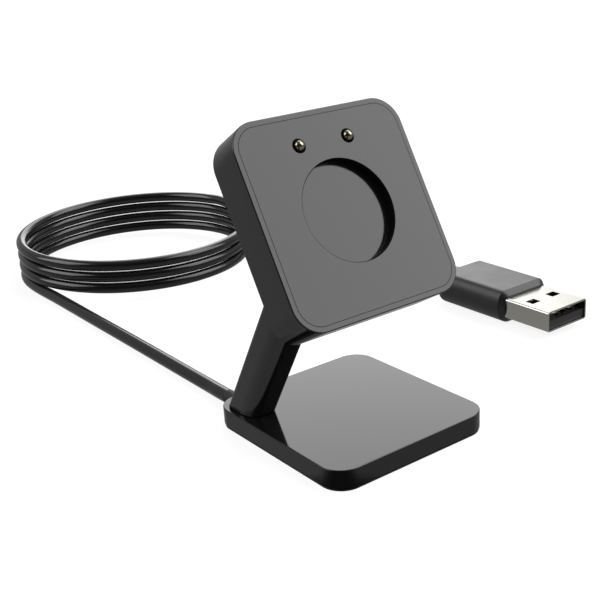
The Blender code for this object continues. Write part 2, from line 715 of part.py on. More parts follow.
def board_and_magnets():
    """The circuit board behind the pins and the magnets in the cover's rings."""
    outline = rounded_rectangle(BOARD_WIDTH, BOARD_HEIGHT, BOARD_CORNER, (0, PIN_RISE), 3)
    board = slab("circuit_board", outline, -BOARD_BACK, -BOARD_FRONT, HEAD_FRAME,
                 finish=material("board", (0.02, 0.16, 0.06), 0.45))
    for side, spot in pin_places().items():
        cut(board, cylinder(f"tail_hole_{side}", TAIL_RADIUS + SEAT_GAP, -BOARD_BACK - PAST, 0, spot,
                            HEAD_FRAME, steps=16))
    for index, spot in enumerate(magnet_places(), 1):
        slab(f"magnet_{index}", circle(MAGNET_RADIUS, spot), -MAGNET_BACK, -COVER_THICKNESS - SEAT_GAP,
             HEAD_FRAME, finish=material("nickel", (0.6, 0.6, 0.58), 0.25, 1.0))


def screw():
    """The screw that draws the base's plate and the stem's tongue together."""
    under_head = HOUSING_FOOT + SCREW_HEAD_HEIGHT - SEAT_GAP
    tip = PLATE_TOP + SEAT_GAP + SCREW_BITE
    axis = frame_empty("screw_axis", (STEM_X, SCREW_Y, 0))
    point = SCREW_RADIUS * 0.6
    socket = SCREW_RADIUS * 0.7
    socket_end = HOUSING_FOOT + SCREW_SOCKET
    turned("stem_screw", [(0, tip), (point, tip), (SCREW_RADIUS, tip - point),
                          (SCREW_RADIUS, under_head), (SCREW_HEAD_RADIUS, under_head),
                          (SCREW_HEAD_RADIUS * 0.8, HOUSING_FOOT), (socket, HOUSING_FOOT),
                          (socket, socket_end), (0, socket_end)], axis, finish=steel())


def gland():
    """The rubber gland: a sleeve behind the rear wall, a neck in it and a flange inside."""
    inside = -(BASE_WALL + FIT_GAP)
    holder = frame_empty("gland_frame", (GLAND_X, BASE_REAR, GLAND_Z), -math.pi / 2)
    turned("cord_gland", [(0, GLAND_LENGTH), (GLAND_RADIUS - GLAND_END_INSET, GLAND_LENGTH),
                          (GLAND_RADIUS, GLAND_LENGTH - GLAND_END_BEVEL), (GLAND_RADIUS, FIT_GAP),
                          (GLAND_NECK, FIT_GAP), (GLAND_NECK, inside), (GLAND_RADIUS, inside),
                          (GLAND_RADIUS, inside - GLAND_FLANGE), (0, inside - GLAND_FLANGE)],
           holder, finish=rubber())


def channel_point(across, depth):
    """The foot of a line along the stem's wire channel, and where it comes to a depth behind the face."""
    start = Matrix.Translation(STEM_FOOT) @ Matrix.Rotation(STEM_LEAN, 4, "X") @ Vector(
        (STEM_X - HEAD_X + across, CHANNEL_OFFSET, 0))
    start_depth = (FACE_CENTRE - start).dot(FACE_OUT)
    climb = (start_depth - depth) / STEM_WAY.dot(FACE_OUT)
    return start, start + STEM_WAY * climb


def inner_wires():
    """The two wires from the gland through the stem's channel to the tails of the pins."""
    flange_front = BASE_REAR - BASE_WALL - FIT_GAP - GLAND_FLANGE - SEAT_GAP
    wire_depth = BOARD_BACK + WIRE_RADIUS + WIRE_BEHIND_BOARD
    free_depth = BOARD_BACK - WIRE_RADIUS
    post_x, post_y = magnet_places()[0]
    colours = {"positive": (0.35, 0.03, 0.03), "negative": (0.03, 0.03, 0.03)}
    for name, beside, side in (("positive", -0.5, "left"), ("negative", 0.5, "right")):
        offset = beside * WIRE_PITCH
        foot = [Vector((GLAND_X + offset, flange_front, GLAND_Z)),
                Vector(((GLAND_X + STEM_X) / 2 + offset, flange_front - WIRE_FOOT, GLAND_Z + SEAT_GAP))]
        start, end = channel_point(offset, free_depth)
        up_stem = [start.lerp(end, share) for share in (-0.02, 0.25, 0.5, 0.75, 0.93)]
        up_stem.append(end + FACE_UP * WIRE_RADIUS)
        end_x = end.x - FACE_CENTRE.x
        end_y = (end - FACE_CENTRE).dot(FACE_UP)
        pin_x, pin_y = pin_places()[side]
        tail_y = pin_y - TAIL_RADIUS - SEAT_GAP
        way = [(end_x + (pin_x - end_x) * across, end_y + (tail_y - end_y) * up)
               for across, up in WIRE_ROUTES[name]]
        if side == "left":
            way.insert(2, (post_x, post_y - POST_RADIUS - WIRE_RADIUS - 2 * FIT_GAP))
        in_head = [head_point(x, y, free_depth) for x, y in way[:-1]]
        in_head += [head_point(*way[-1], wire_depth), head_point(pin_x, tail_y, wire_depth)]
        tube(f"wire_{name}", smooth_path(foot + up_stem + in_head, WIRE_STEP), WIRE_RADIUS,
             material(f"wire_{name}", colours[name], 0.5))


def cord():
    """The cord: a straight run from the gland, a round coil and a run down to the plug."""
    ground = CORD_RADIUS
    gland_end = BASE_REAR + GLAND_LENGTH + CORD_GAP
    run_length = COIL_CENTRE.y - COIL_LEAD - gland_end
    from_stand = [(GLAND_X + CORD_RADIUS * aside, gland_end + run_length * along,
                   ground + (GLAND_Z - ground) * lift) for along, aside, lift in STAND_RUN]
    tube("cord_run_stand", smooth_path(from_stand, CORD_STEP), CORD_RADIUS, cord_jacket())

    inner = COIL_RADIUS - CORD_RADIUS
    outer = COIL_RADIUS + CORD_RADIUS
    height = 2 * CORD_RADIUS + COIL_PITCH * COIL_TURNS
    ring = rounded_polygon([(inner, 0, CORD_RADIUS * 0.9), (outer, 0, CORD_RADIUS * 0.9),
                            (outer, height, CORD_RADIUS * 0.9), (inner, height, CORD_RADIUS * 0.9)], 3)
    ring.reverse()
    centre = frame_empty("coil_centre", (*COIL_CENTRE, 0))
    turned("cord_coil", ring, centre, finish=cord_jacket(), steps=48, closed=True)

    leave_x = COIL_CENTRE.x + COIL_RADIUS + COIL_STEP
    leave_y = COIL_CENTRE.y - COIL_LEAVE
    neck_end = PLUG_TIP.y + SHELL_EXPOSED + GRIP_LENGTH + NECK_LENGTH + CORD_GAP
    coil_rise = height - CORD_RADIUS - COIL_DROP - ground
    plug_rise = PLUG_AXIS_Z - ground
    to_plug = [(leave_x + (PLUG_TIP.x - leave_x) * aside, leave_y + (neck_end - leave_y) * along,
                ground + coil_rise * fall + plug_rise * rise) for along, aside, fall, rise in PLUG_RUN]
    tube("cord_run_plug", smooth_path(to_plug, CORD_STEP), CORD_RADIUS, cord_jacket())


def grip_section(inset=0.0):
    """End view of the plug's grip, set in by inset: flat top, bulging sides and a round lower edge."""
    side = GRIP_WIDTH / 2
    high = GRIP_HEIGHT / 2
    flat = GRIP_TOP_WIDTH / 2
    foot = side - high
    quarter = [math.pi / 2 * i / 8 for i in range(9)]
    upper = [(flat + (side - flat) * math.sin(a), high * math.cos(a)) for a in quarter]
    lower = [(foot + high * math.cos(a), -high * math.sin(a)) for a in quarter[1:]]
    right = upper + lower
    left = [(-x, y) for x, y in reversed(right)]
    across = (side - inset) / side
    upright = (high - inset) / high
    return [(x * across, y * upright) for x, y in right + left]


def plug():
    """The USB plug: overmoulded grip with its neck, steel shell, insulator and four contacts."""
    front = frame_empty("plug_frame", (*PLUG_TIP, PLUG_AXIS_Z), math.pi / 2)
    grip_front = -SHELL_EXPOSED
    grip_rear = grip_front - GRIP_LENGTH
    round_steps = [math.pi / 2 * i / 4 for i in range(5)]
    sections = [(grip_front, grip_section(GRIP_CHAMFER)), (grip_front - GRIP_CHAMFER, grip_section())]
    sections += [(grip_rear + GRIP_REAR_ROUND * (1 - math.sin(a)),
                  grip_section(GRIP_REAR_ROUND * (1 - math.cos(a)))) for a in round_steps]
    grip = loft("plug_overmould", sections, front, finish=housing_plastic())
    neck = turned("plug_neck", [(0, grip_rear + GRIP_REAR_ROUND), (NECK_RADIUS, grip_rear + GRIP_REAR_ROUND),
                                (NECK_RADIUS, grip_rear), (NECK_END_RADIUS, grip_rear - NECK_LENGTH),
                                (0, grip_rear - NECK_LENGTH)], front, cutter=True)
    join(grip, neck)
    shell_rear = grip_front - SHELL_BURIED
    pocket = slab("shell_pocket", rounded_rectangle(SHELL_WIDTH + 2 * SEAT_GAP, SHELL_HEIGHT + 2 * SEAT_GAP,
                                                    SHELL_CORNER, steps=4),
                  shell_rear - FIT_GAP, PAST, front, cutter=True)
    cut(grip, pocket)

    shell = slab("plug_shell", rounded_rectangle(SHELL_WIDTH, SHELL_HEIGHT, SHELL_CORNER, steps=4),
                 shell_rear, 0, front, finish=steel())
    inner_width = SHELL_WIDTH - 2 * SHELL_WALL
    inner_height = SHELL_HEIGHT - 2 * SHELL_WALL
    cut(shell, slab("shell_bore", rounded_rectangle(inner_width, inner_height, SHELL_CORNER - SHELL_WALL,
                                                    steps=4), shell_rear - PAST, PAST, front, True))
    for index, across in enumerate((-WINDOW_X, WINDOW_X), 1):
        for face, height in (("top", SHELL_HEIGHT / 2), ("bottom", -SHELL_HEIGHT / 2)):
            window = rounded_rectangle(WINDOW_WIDTH, 4 * SHELL_WALL, 0, (across, height))
            cut(shell, slab(f"window_{face}_{index}", window, -WINDOW_Y - WINDOW_LENGTH / 2,
                            -WINDOW_Y + WINDOW_LENGTH / 2, front, True))

    tongue_floor = -inner_height / 2 + SLIDE_GAP
    tongue_top = tongue_floor + TONGUE_HEIGHT
    tongue_width = inner_width - 2 * SLIDE_GAP
    outline = rounded_rectangle(tongue_width, TONGUE_HEIGHT, SLIDE_GAP,
                                (0, tongue_floor + TONGUE_HEIGHT / 2), 2)
    tongue = slab("plug_tongue", outline, shell_rear + SEAT_GAP, -TONGUE_RECESS, front,
                  finish=material("insulator", (0.03, 0.03, 0.03), 0.4))
    groove_floor = tongue_top + CONTACT_PROUD - CONTACT_THICKNESS - SLIDE_GAP
    for index, (across, length) in enumerate(zip(CONTACT_X, CONTACT_LENGTHS), 1):
        start = -TONGUE_RECESS - CONTACT_START
        groove = rounded_rectangle(CONTACT_WIDTH + 2 * SLIDE_GAP, CONTACT_THICKNESS + PAST, 0,
                                   (across, groove_floor + (CONTACT_THICKNESS + PAST) / 2))
        cut(tongue, slab(f"contact_groove_{index}", groove, start - length - SLIDE_GAP,
                         start + SLIDE_GAP, front, True))
        strip = rounded_rectangle(CONTACT_WIDTH, CONTACT_THICKNESS, 0,
                                  (across, tongue_top + CONTACT_PROUD - CONTACT_THICKNESS / 2))
        slab(f"plug_contact_{index}", strip, start - length, start, front, finish=gold())


base()
stem_and_head()
front_cover()
for pin_side, pin_spot in pin_places().items():
    spring_pin(pin_side, pin_spot)
board_and_magnets()
screw()
gland()
inner_wires()
cord()
plug()
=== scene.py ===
# %% [markdown]
# # Charging stand for a fitness band
#
# The object is a small desk stand: a flat base, a leaning stem and a tilted head
# whose face has a round pocket and two sprung pins. A cord leaves the base, lies
# coiled behind it and ends in a flat plug.
#
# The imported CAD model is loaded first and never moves. Each piece made below is
# placed straight in its frame, in metres, and rides on one of its bodies.

# %% Load the frame
import math

import bpy
import numpy as np
from mathutils import Matrix, Vector


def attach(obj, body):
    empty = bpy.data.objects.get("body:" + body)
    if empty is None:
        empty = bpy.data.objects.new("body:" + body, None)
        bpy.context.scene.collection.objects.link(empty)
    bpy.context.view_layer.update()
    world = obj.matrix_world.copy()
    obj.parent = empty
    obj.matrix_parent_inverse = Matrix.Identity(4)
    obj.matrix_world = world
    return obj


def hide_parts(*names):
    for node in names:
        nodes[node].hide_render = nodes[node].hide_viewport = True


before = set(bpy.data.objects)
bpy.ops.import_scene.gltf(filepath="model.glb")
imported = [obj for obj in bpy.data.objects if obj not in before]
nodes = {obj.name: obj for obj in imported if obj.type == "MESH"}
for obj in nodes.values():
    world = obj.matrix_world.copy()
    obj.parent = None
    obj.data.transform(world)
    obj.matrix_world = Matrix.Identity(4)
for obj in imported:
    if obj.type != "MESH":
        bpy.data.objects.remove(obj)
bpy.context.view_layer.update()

MM = 0.001

# %% [markdown]
# ## The camera
#
# A camera stands where the eye of the picture was. Its place, its two angles and
# its small roll can be worked out from straight edges whose real lengths are
# known. A matrix built from three directions at right angles says all of that at
# once: the camera looks along the third one backwards.

# %% Camera
AZIMUTH = math.radians(-35.60)
ELEVATION = math.radians(20.40)
ROLL = math.radians(-3.65)
EYE = Vector((-104.447, -131.694, 86.506)) * MM
LENS = 63.06
SENSOR = 36.0
NEAREST = 10 * MM

backwards = Vector((math.sin(AZIMUTH) * math.cos(ELEVATION),
                    -math.cos(AZIMUTH) * math.cos(ELEVATION), math.sin(ELEVATION)))
level = Vector((math.cos(AZIMUTH), math.sin(AZIMUTH), 0))
upright = backwards.cross(level)
sideways = level * math.cos(ROLL) + upright * math.sin(ROLL)
upwards = upright * math.cos(ROLL) - level * math.sin(ROLL)

camera = bpy.data.objects.new("camera", bpy.data.cameras.new("camera"))
camera.data.lens = LENS
camera.data.sensor_width = SENSOR
camera.data.clip_start = NEAREST
turned = Matrix((sideways, upwards, backwards)).transposed()
camera.matrix_world = Matrix.Translation(EYE) @ turned.to_4x4()
bpy.context.scene.collection.objects.link(camera)
bpy.context.scene.camera = camera
print("eye at", [round(x / MM, 1) for x in EYE], "mm")

# %% [markdown]
# ## From arrays to meshes
#
# Every new piece is a stack of rings: equally many points round each, in one
# array of shape (rings, points, 3). Neighbouring rings are joined by four-cornered
# faces, and each end is closed by a fan round a middle point. Extruding and
# bevelling by hand would give the same forms, but a stack of rings keeps the
# formula in sight and every edge exactly where it belongs.

# %% Rings to a closed skin
SHARP_FROM = math.radians(35)


def skin(name, rings, looped=False):
    """A closed mesh over rings[i, j]: face (i, j) joins points j and j + 1 of rings i and i + 1.
    The ends are fans round each end ring's middle, or the last ring joins the first if looped.
    If the volume, the sum of corner a . (corner b x corner c) / 6, is negative, faces are turned."""
    rows, columns = rings.shape[:2]
    points = rings.reshape(-1, 3)
    i, j = np.meshgrid(np.arange(rows if looped else rows - 1), np.arange(columns), indexing="ij")
    after = (j + 1) % columns
    above = ((i + 1) % rows) * columns
    here = i * columns
    quads = np.stack([here + j, here + after, above + after, above + j], axis=-1).reshape(-1, 4)
    faces = [quads]
    if not looped:
        points = np.vstack([points, rings[0].mean(axis=0), rings[-1].mean(axis=0)])
        near = np.arange(columns)
        far = (near + 1) % columns
        last = (rows - 1) * columns
        low, high = rows * columns, rows * columns + 1
        faces.append(np.stack([far, near, np.full(columns, low)], axis=-1))
        faces.append(np.stack([last + near, last + far, np.full(columns, high)], axis=-1))
    middle = points.mean(axis=0)
    a, b, c = (points[quads[:, k]] - middle for k in (0, 1, 2))
    d = points[quads[:, 3]] - middle
    volume = np.einsum("ij,ij->", a, np.cross(b, c)) + np.einsum("ij,ij->", a, np.cross(c, d))
    for tris in faces[1:]:
        p, q, r = (points[tris[:, k]] - middle for k in (0, 1, 2))
        volume += np.einsum("ij,ij->", p, np.cross(q, r))
    if volume < 0:
        faces = [group[:, ::-1] for group in faces]
    mesh = bpy.data.meshes.new(name)
    mesh.from_pydata(points.tolist(), [], [face for group in faces for face in group.tolist()])
    piece = bpy.data.objects.new(name, mesh)
    bpy.context.scene.collection.objects.link(piece)
    return piece


def soften(piece):
    """Shades a piece smooth, apart from edges that turn by more than a set angle. Weighted Normal
    gives large faces the say at their corners, so they stay flat beside a small round."""
    piece.data.shade_smooth()
    piece.data.set_sharp_from_angle(angle=SHARP_FROM)
    even = piece.modifiers.new("even", "WEIGHTED_NORMAL")
    even.keep_sharp = True
    return piece


print("edges are sharp from", round(math.degrees(SHARP_FROM)), "degrees")

# %% [markdown]
# ## The cord
#
# The real cord is a round PVC jacket of 2.7 mm over two pairs of wires. It leaves
# the stand straight, lies on the table, winds three and a half times round in a
# spring-like coil, and drops from the top turn to the plug. A Bezier curve with a
# bevel would do, but a curve through exact points keeps the coil's pitch even, so
# the route is a list of points with a helix in its middle, smoothed as one line.
# In the coil the jacket is drawn a tenth of a millimetre thinner, so that light
# shows between the turns, which only lean on each other here and there.

# %% The cord's route
CORD_RADIUS = 1.35 * MM
CORD_STEP = 0.6 * MM
CURVE_STEPS = 24
COIL_CENTRE = np.array([16.82, 111.04]) * MM
COIL_RADIUS = 28.98 * MM
COIL_PITCH = 2.8 * MM
COIL_STRAND = 1.305 * MM
COIL_TURNS = 3.5
POINTS_PER_TURN = 24
WOBBLE = 0.02 * MM
WOBBLE_RATE = 1.31
WOBBLE_START = 0.6
THINNING = 15
FROM_STAND = np.array([(-12.4, 21.45, 1.9), (-12.2, 25.1, 1.67), (-11.88, 29.1, 1.39),
                       (-11.83, 36.1, 1.35), (-11.83, 59.9, 1.35), (-11.93, 81.8, 1.35),
                       (-11.98, 97.7, 1.35)]) * MM
TO_PLUG = np.array([(45.85, 98.2, 9.65), (46.6, 91, 7.25), (48.4, 82, 3.65), (50.8, 74, 1.65),
                    (53.6, 66, 1.36), (56.8, 57, 1.45), (58.5, 49, 2.43), (58.87, 41.7, 3.75)]) * MM


def smooth_line(knots, spacing):
    """Points at an even spacing on the Catmull-Rom curve through the knots: between knots b and c
    it is half of 2b + (c - a)t + (2a - 5b + 4c - d)t^2 + (3b - a - 3c + d)t^3."""
    padded = np.vstack([2 * knots[0] - knots[1], knots, 2 * knots[-1] - knots[-2]])
    a, b, c, d = (padded[k:len(padded) - 3 + k, None, :] for k in range(4))
    t = np.linspace(0, 1, CURVE_STEPS, endpoint=False)[None, :, None]
    fine = 0.5 * (2 * b + (c - a) * t + (2 * a - 5 * b + 4 * c - d) * t ** 2
                  + (3 * b - a - 3 * c + d) * t ** 3)
    fine = np.vstack([fine.reshape(-1, 3), knots[-1]])
    travelled = np.concatenate([[0], np.cumsum(np.linalg.norm(np.diff(fine, axis=0), axis=1))])
    stops = np.linspace(0, travelled[-1], int(round(travelled[-1] / spacing)) + 1)
    return np.stack([np.interp(stops, travelled, fine[:, k]) for k in range(3)], axis=-1), travelled[-1]


# The helix wobbles by a hair, out of step with its turns, as a hand-wound coil does.
turn = np.linspace(0, 2 * math.pi * COIL_TURNS, int(POINTS_PER_TURN * COIL_TURNS) + 1)
strand_radius = COIL_RADIUS + WOBBLE * np.sin(WOBBLE_RATE * turn + WOBBLE_START)
helix = np.stack([COIL_CENTRE[0] - strand_radius * np.cos(turn),
                  COIL_CENTRE[1] + strand_radius * np.sin(turn),
                  CORD_RADIUS + COIL_PITCH * turn / (2 * math.pi)], axis=-1)
cord_path, cord_length = smooth_line(np.vstack([FROM_STAND, helix, TO_PLUG]), CORD_STEP)
print("cord length", round(cord_length, 4), "m")

# %% [markdown]
# ## The cord's skin
#
# The jacket is pushed hot through a round die, so its section is a circle from end
# to end. A curve object with a round bevel could draw it. Circles in an array do
# it here, because the radius changes over exactly the steps where the coil begins
# and ends.

# %% The cord's skin
def tube_rings(path, radius, around=24):
    """Rings of a tube: the path's point plus radius times (side cos a + over sin a), where side is
    level and at right angles to the path, and over is at right angles to both."""
    along = np.gradient(path, axis=0)
    along /= np.linalg.norm(along, axis=1, keepdims=True)
    side = np.cross(along, [0, 0, 1])
    side /= np.linalg.norm(side, axis=1, keepdims=True)
    over = np.cross(side, along)
    angle = np.linspace(0, 2 * math.pi, around, endpoint=False)[None, :, None]
    radius = np.broadcast_to(np.asarray(radius, float), (len(path),))[:, None, None]
    spokes = side[:, None, :] * np.cos(angle) + over[:, None, :] * np.sin(angle)
    return path[:, None, :] + radius * spokes


# The jacket thins over a few steps before the coil and thickens again after it.
first, last = (int(np.argmin(np.linalg.norm(cord_path - end, axis=1))) for end in (helix[0], helix[-1]))
jacket = np.interp(np.arange(len(cord_path)), [first - THINNING, first, last, last + THINNING],
                   [CORD_RADIUS, COIL_STRAND, COIL_STRAND, CORD_RADIUS])
cord = soften(skin("cord", tube_rings(cord_path, jacket)))
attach(cord, "stand")
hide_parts("cord_run_stand", "cord_coil", "cord_run_plug")
print("cord faces", len(cord.data.polygons))

# %% [markdown]
# ## Outlines and edge profiles
#
# The base, the head and the face panel are the same idea in three sizes: a
# rounded rectangle with a profile carried round it. The profile says how far a
# ring is set in from the outline and at what height it lies. A small arc at each
# profile corner is the mould's edge radius, which catches a line of light. Next to
# each arc lies one more ring, so that the flat faces stay flat in the shading.

# %% Rounded outlines
SUPPORT = 0.04 * MM
LEAST_CORNER = 0.1 * MM


def rounded_outline(width, height, radii, steps=24):
    """Points of a rounded rectangle, anticlockwise: each corner's arc is its centre plus
    (r cos a, s sin a) over a quarter turn, from lower right round to lower left. Radii are one
    number, or a pair (r, s) for each corner."""
    radii = np.broadcast_to(np.asarray(radii, float), (4, 2))
    signs = np.array([(1, -1), (1, 1), (-1, 1), (-1, -1)])
    centres = signs * (np.array([width, height]) / 2 - radii)
    angle = (np.arange(4)[:, None] - 1) * (math.pi / 2) + np.linspace(0, math.pi / 2, steps + 1)
    arms = radii[:, None, :] * np.stack([np.cos(angle), np.sin(angle)], axis=-1)
    return (centres[:, None, :] + arms).reshape(-1, 2)


def eased(corners, steps=6):
    """A profile of (inset, level) through corners given as (inset, level, radius). A corner's arc is
    corner + radius (u (1 - sin t) + v (1 - cos t)), with u and v towards its two neighbours."""
    spots = np.array([corner[:2] for corner in corners], float)
    t = np.linspace(0, math.pi / 2, steps + 1)[:, None]
    profile = [spots[:1]]
    for k in range(1, len(corners) - 1):
        u, v = spots[k - 1] - spots[k], spots[k + 1] - spots[k]
        u, v = u / np.linalg.norm(u), v / np.linalg.norm(v)
        radius = corners[k][2]
        arc = spots[k] + radius * (u * (1 - np.sin(t)) + v * (1 - np.cos(t)))
        profile += [arc[:1] + SUPPORT * u, arc, arc[-1:] + SUPPORT * v]
    profile.append(spots[-1:])
    return np.vstack(profile)


def rounded_block(width, height, radii, profile, steps=24):
    """Rings of a rounded rectangle: ring k is the outline set in by profile[k, 0], at level
    profile[k, 1]. Its corner radii, one number or four for each ring, shrink with the inset, down
    to a tenth of a millimetre."""
    rings = []
    for (inset, height_at), corners in zip(profile, np.broadcast_to(radii, (len(profile), 4))):
        radius = np.maximum(corners[:, None] - inset, LEAST_CORNER)
        flat = rounded_outline(width - 2 * inset, height - 2 * inset, radius, steps)
        rings.append(np.column_stack([flat, np.full(len(flat), height_at)]))
    return np.array(rings)


def turned_rings(profile, around=96):
    """Rings of a turned form: ring k is a circle of radius profile[k, 0] at level profile[k, 1]."""
    angle = np.linspace(0, 2 * math.pi, around, endpoint=False)
    radius, height_at = profile[:, 0:1], profile[:, 1:2]
    return np.stack([radius * np.cos(angle), radius * np.sin(angle),
                     np.broadcast_to(height_at, (len(profile), around))], axis=-1)


print("points round an outline", len(rounded_outline(2 * MM, MM, LEAST_CORNER)))

# %% [markdown]
# ## The base
#
# The real base is a shallow ABS moulding over a steel plate, polished on top and
# open below, with a thin rubber pad stuck under it. A cube with a Bevel modifier
# would look alike from above. A profile carried round the outline gives the
# hollow underside as well, in one closed skin.

# %% Base housing and foot pad
BASE_WIDTH = 33.8 * MM
BASE_DEPTH = 35.55 * MM
BASE_CORNER = 4.2 * MM
BASE_WALL = 1.2 * MM
BASE_FOOT = 0.5 * MM
BASE_TOP = 3.8 * MM
ROOF_UNDERSIDE = 2.8 * MM
STAND_LEFT = -17.925 * MM
BASE_CENTRE = np.array([STAND_LEFT + BASE_WIDTH / 2, 0, 0])
BASE_EDGE = 0.15 * MM
FOOT_EDGE = 0.1 * MM
INNER_EDGE = 0.08 * MM
ROOF_ROUND = 0.3 * MM
PAD_THICKNESS = 0.3 * MM
PAD_INSET = 0.15 * MM
PAD_EDGE = 0.08 * MM
PAD_REACH = 3 * MM


def on_base(profile):
    """A skin's rings for the base: a profile carried round the base's outline."""
    return BASE_CENTRE + rounded_block(BASE_WIDTH, BASE_DEPTH, BASE_CORNER, profile)


base_profile = eased([(3 * BASE_WALL, ROOF_UNDERSIDE, 0), (BASE_WALL, ROOF_UNDERSIDE, ROOF_ROUND),
                      (BASE_WALL, BASE_FOOT, INNER_EDGE), (0, BASE_FOOT, FOOT_EDGE),
                      (0, BASE_TOP, BASE_EDGE), (3 * BASE_WALL, BASE_TOP, 0)])
base = soften(skin("base_shell", on_base(base_profile)))
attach(base, "stand")
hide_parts("base_housing")

pad_profile = eased([(PAD_REACH, 0, 0), (PAD_INSET, 0, PAD_EDGE), (PAD_INSET, PAD_THICKNESS, PAD_EDGE),
                     (PAD_REACH, PAD_THICKNESS, 0)])
pad = soften(skin("rubber_pad", on_base(pad_profile)))
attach(pad, "stand")
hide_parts("foot_pad")
print("base faces", len(base.data.polygons), "pad faces", len(pad.data.polygons))

# %% [markdown]
# ## The head and the stem
#
# They are one moulding on the real stand: a shallow tray that leans back, on a
# stem that leans forward. The tray is made flat, as if the face lay on a table,
# and the stem is its end view carried along the way it leans, cut off level with
# the base and inside the tray's back. The stem is brought into the tray's flat
# directions, a Boolean union makes one skin of the two, and only then is the
# whole leant back, because a cut through exactly flat faces comes out clean.
#
# The tray's corners grow a little rounder towards the back. Beside the stem the
# corner tightens instead, so that the side runs into the stem without a groove.
# The stem's front edge has one wide elliptic round, which darkens slowly.

# %% Directions of the head and the stem
HEAD_TILT = math.radians(29.64)
STEM_LEAN = math.radians(30.9)
FACE_CENTRE = np.array([0.450, -0.871, 39.563]) * MM
ACROSS = np.array([1.0, 0, 0])
FACE_UP = np.array([0, math.sin(HEAD_TILT), math.cos(HEAD_TILT)])
FACE_OUT = np.array([0, -math.cos(HEAD_TILT), math.sin(HEAD_TILT)])
STEM_WAY = np.array([0, -math.sin(STEM_LEAN), math.cos(STEM_LEAN)])
STEM_BACK = np.array([0, math.cos(STEM_LEAN), math.sin(STEM_LEAN)])


def on_head(points):
    """Carries points to the head: face centre + x across + y up the face + z out of the face."""
    return FACE_CENTRE + points @ np.array([ACROSS, FACE_UP, FACE_OUT])


def off_head(points):
    """The way back: how far a point lies from the face centre across, up and out of the face."""
    return (points - FACE_CENTRE) @ np.array([ACROSS, FACE_UP, FACE_OUT]).T


def carry(piece, place):
    """Moves a piece's points to where a function of an array of points puts them."""
    flat = np.empty(len(piece.data.vertices) * 3)
    piece.data.vertices.foreach_get("co", flat)
    piece.data.vertices.foreach_set("co", place(flat.reshape(-1, 3)).ravel())
    piece.data.update()
    return piece


def combine(target, tool, operation):
    """Joins a tool to a piece, or takes it away, at once, and removes the tool."""
    step = target.modifiers.new(operation, "BOOLEAN")
    step.object = tool
    step.operation = operation
    step.solver = "EXACT"
    seen = target.evaluated_get(bpy.context.evaluated_depsgraph_get())
    made = bpy.data.meshes.new_from_object(seen)
    target.modifiers.remove(step)
    old = target.data
    made.name = old.name
    target.data = made
    bpy.data.meshes.remove(old)
    spent = tool.data
    bpy.data.objects.remove(tool)
    bpy.data.meshes.remove(spent)
    return target


print("the face looks along", FACE_OUT.round(3))

# %% The tray
HEAD_WIDTH = 34.95 * MM
HEAD_HEIGHT = 35.98 * MM
HEAD_THICKNESS = 7.68 * MM
HEAD_CORNER = 5.1 * MM
REAR_GROWTH = np.array([0.5, 0.5, 0.5, -1.0]) * MM
HEAD_EDGE = 0.18 * MM
HEAD_WALL = 1.2 * MM
RIM_WIDTH = 1.0 * MM
LEDGE = 1.8 * MM
RECESS_DEPTH = 1.4 * MM
CAVITY_DEPTH = 6.48 * MM
CAVITY_ROUND = 0.4 * MM
LEDGE_EDGE = 0.08 * MM
SEAT_ROUND = 0.05 * MM
RIM_EDGE = 0.03 * MM

tray_profile = eased([(3 * LEDGE, -CAVITY_DEPTH, 0), (LEDGE, -CAVITY_DEPTH, CAVITY_ROUND),
                      (LEDGE, -RECESS_DEPTH, LEDGE_EDGE), (RIM_WIDTH, -RECESS_DEPTH, SEAT_ROUND),
                      (RIM_WIDTH, 0, RIM_EDGE), (0, 0, HEAD_EDGE), (0, -HEAD_THICKNESS, HEAD_EDGE),
                      (3 * LEDGE, -HEAD_THICKNESS, 0)])
tray_corners = HEAD_CORNER + REAR_GROWTH * -tray_profile[:, 1:2] / HEAD_THICKNESS
head = skin("head_and_stem", rounded_block(HEAD_WIDTH, HEAD_HEIGHT, tray_corners, tray_profile))
print("tray faces", len(head.data.polygons))

# %% The stem, joined to the tray
STEM_WIDTH = 5.6 * MM
STEM_THICKNESS = 6.46 * MM
STEM_EDGE = (0.8 * MM, 0.8 * MM)
STEM_ROUND = (2.0 * MM, 3.4 * MM)
STEM_FOOT = np.array([0.450, 11.206, 3.8]) * MM
FOOT_GAP = 0.2 * MM

# A point of the stem's end view meets a plane after its distance from the plane, divided by the
# share of the stem's way that crosses the plane.
section = rounded_outline(STEM_WIDTH, STEM_THICKNESS, [STEM_EDGE, STEM_EDGE, STEM_EDGE, STEM_ROUND])
section[:, 0] += (STEM_WIDTH - HEAD_WIDTH) / 2
start = STEM_FOOT + section[:, 0:1] * ACROSS + section[:, 1:2] * STEM_BACK
to_base = (BASE_TOP + FOOT_GAP - start[:, 2]) / STEM_WAY[2]
behind_face = (FACE_CENTRE - start) @ FACE_OUT
to_head = (behind_face - (HEAD_THICKNESS - HEAD_WALL / 2)) / (STEM_WAY @ FACE_OUT)
ends = np.array([start + to_base[:, None] * STEM_WAY, start + to_head[:, None] * STEM_WAY])
stem = skin("stem", off_head(ends))
soften(carry(combine(head, stem, "UNION"), on_head))
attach(head, "stand")
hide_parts("stem_and_head_housing")
print("head and stem faces", len(head.data.polygons))

# %% [markdown]
# ## The face panel
#
# A panel of the same plastic is set into the tray, flush with its rim, and only a
# hair-thin joint shows. It carries the round pocket for the band's sensor and two
# holes for the pins. Holes are cut by turned forms that widen a little at the
# mouth, so each hole gets the small edge radius that the mould gives it. The panel
# is cut flat too, and leant back last.

# %% The plate
COVER_THICKNESS = 1.2 * MM
JOINT = 0.05 * MM
COVER_EDGE = 0.03 * MM
COVER_BACK_EDGE = 0.05 * MM
COVER_REACH = 6 * MM

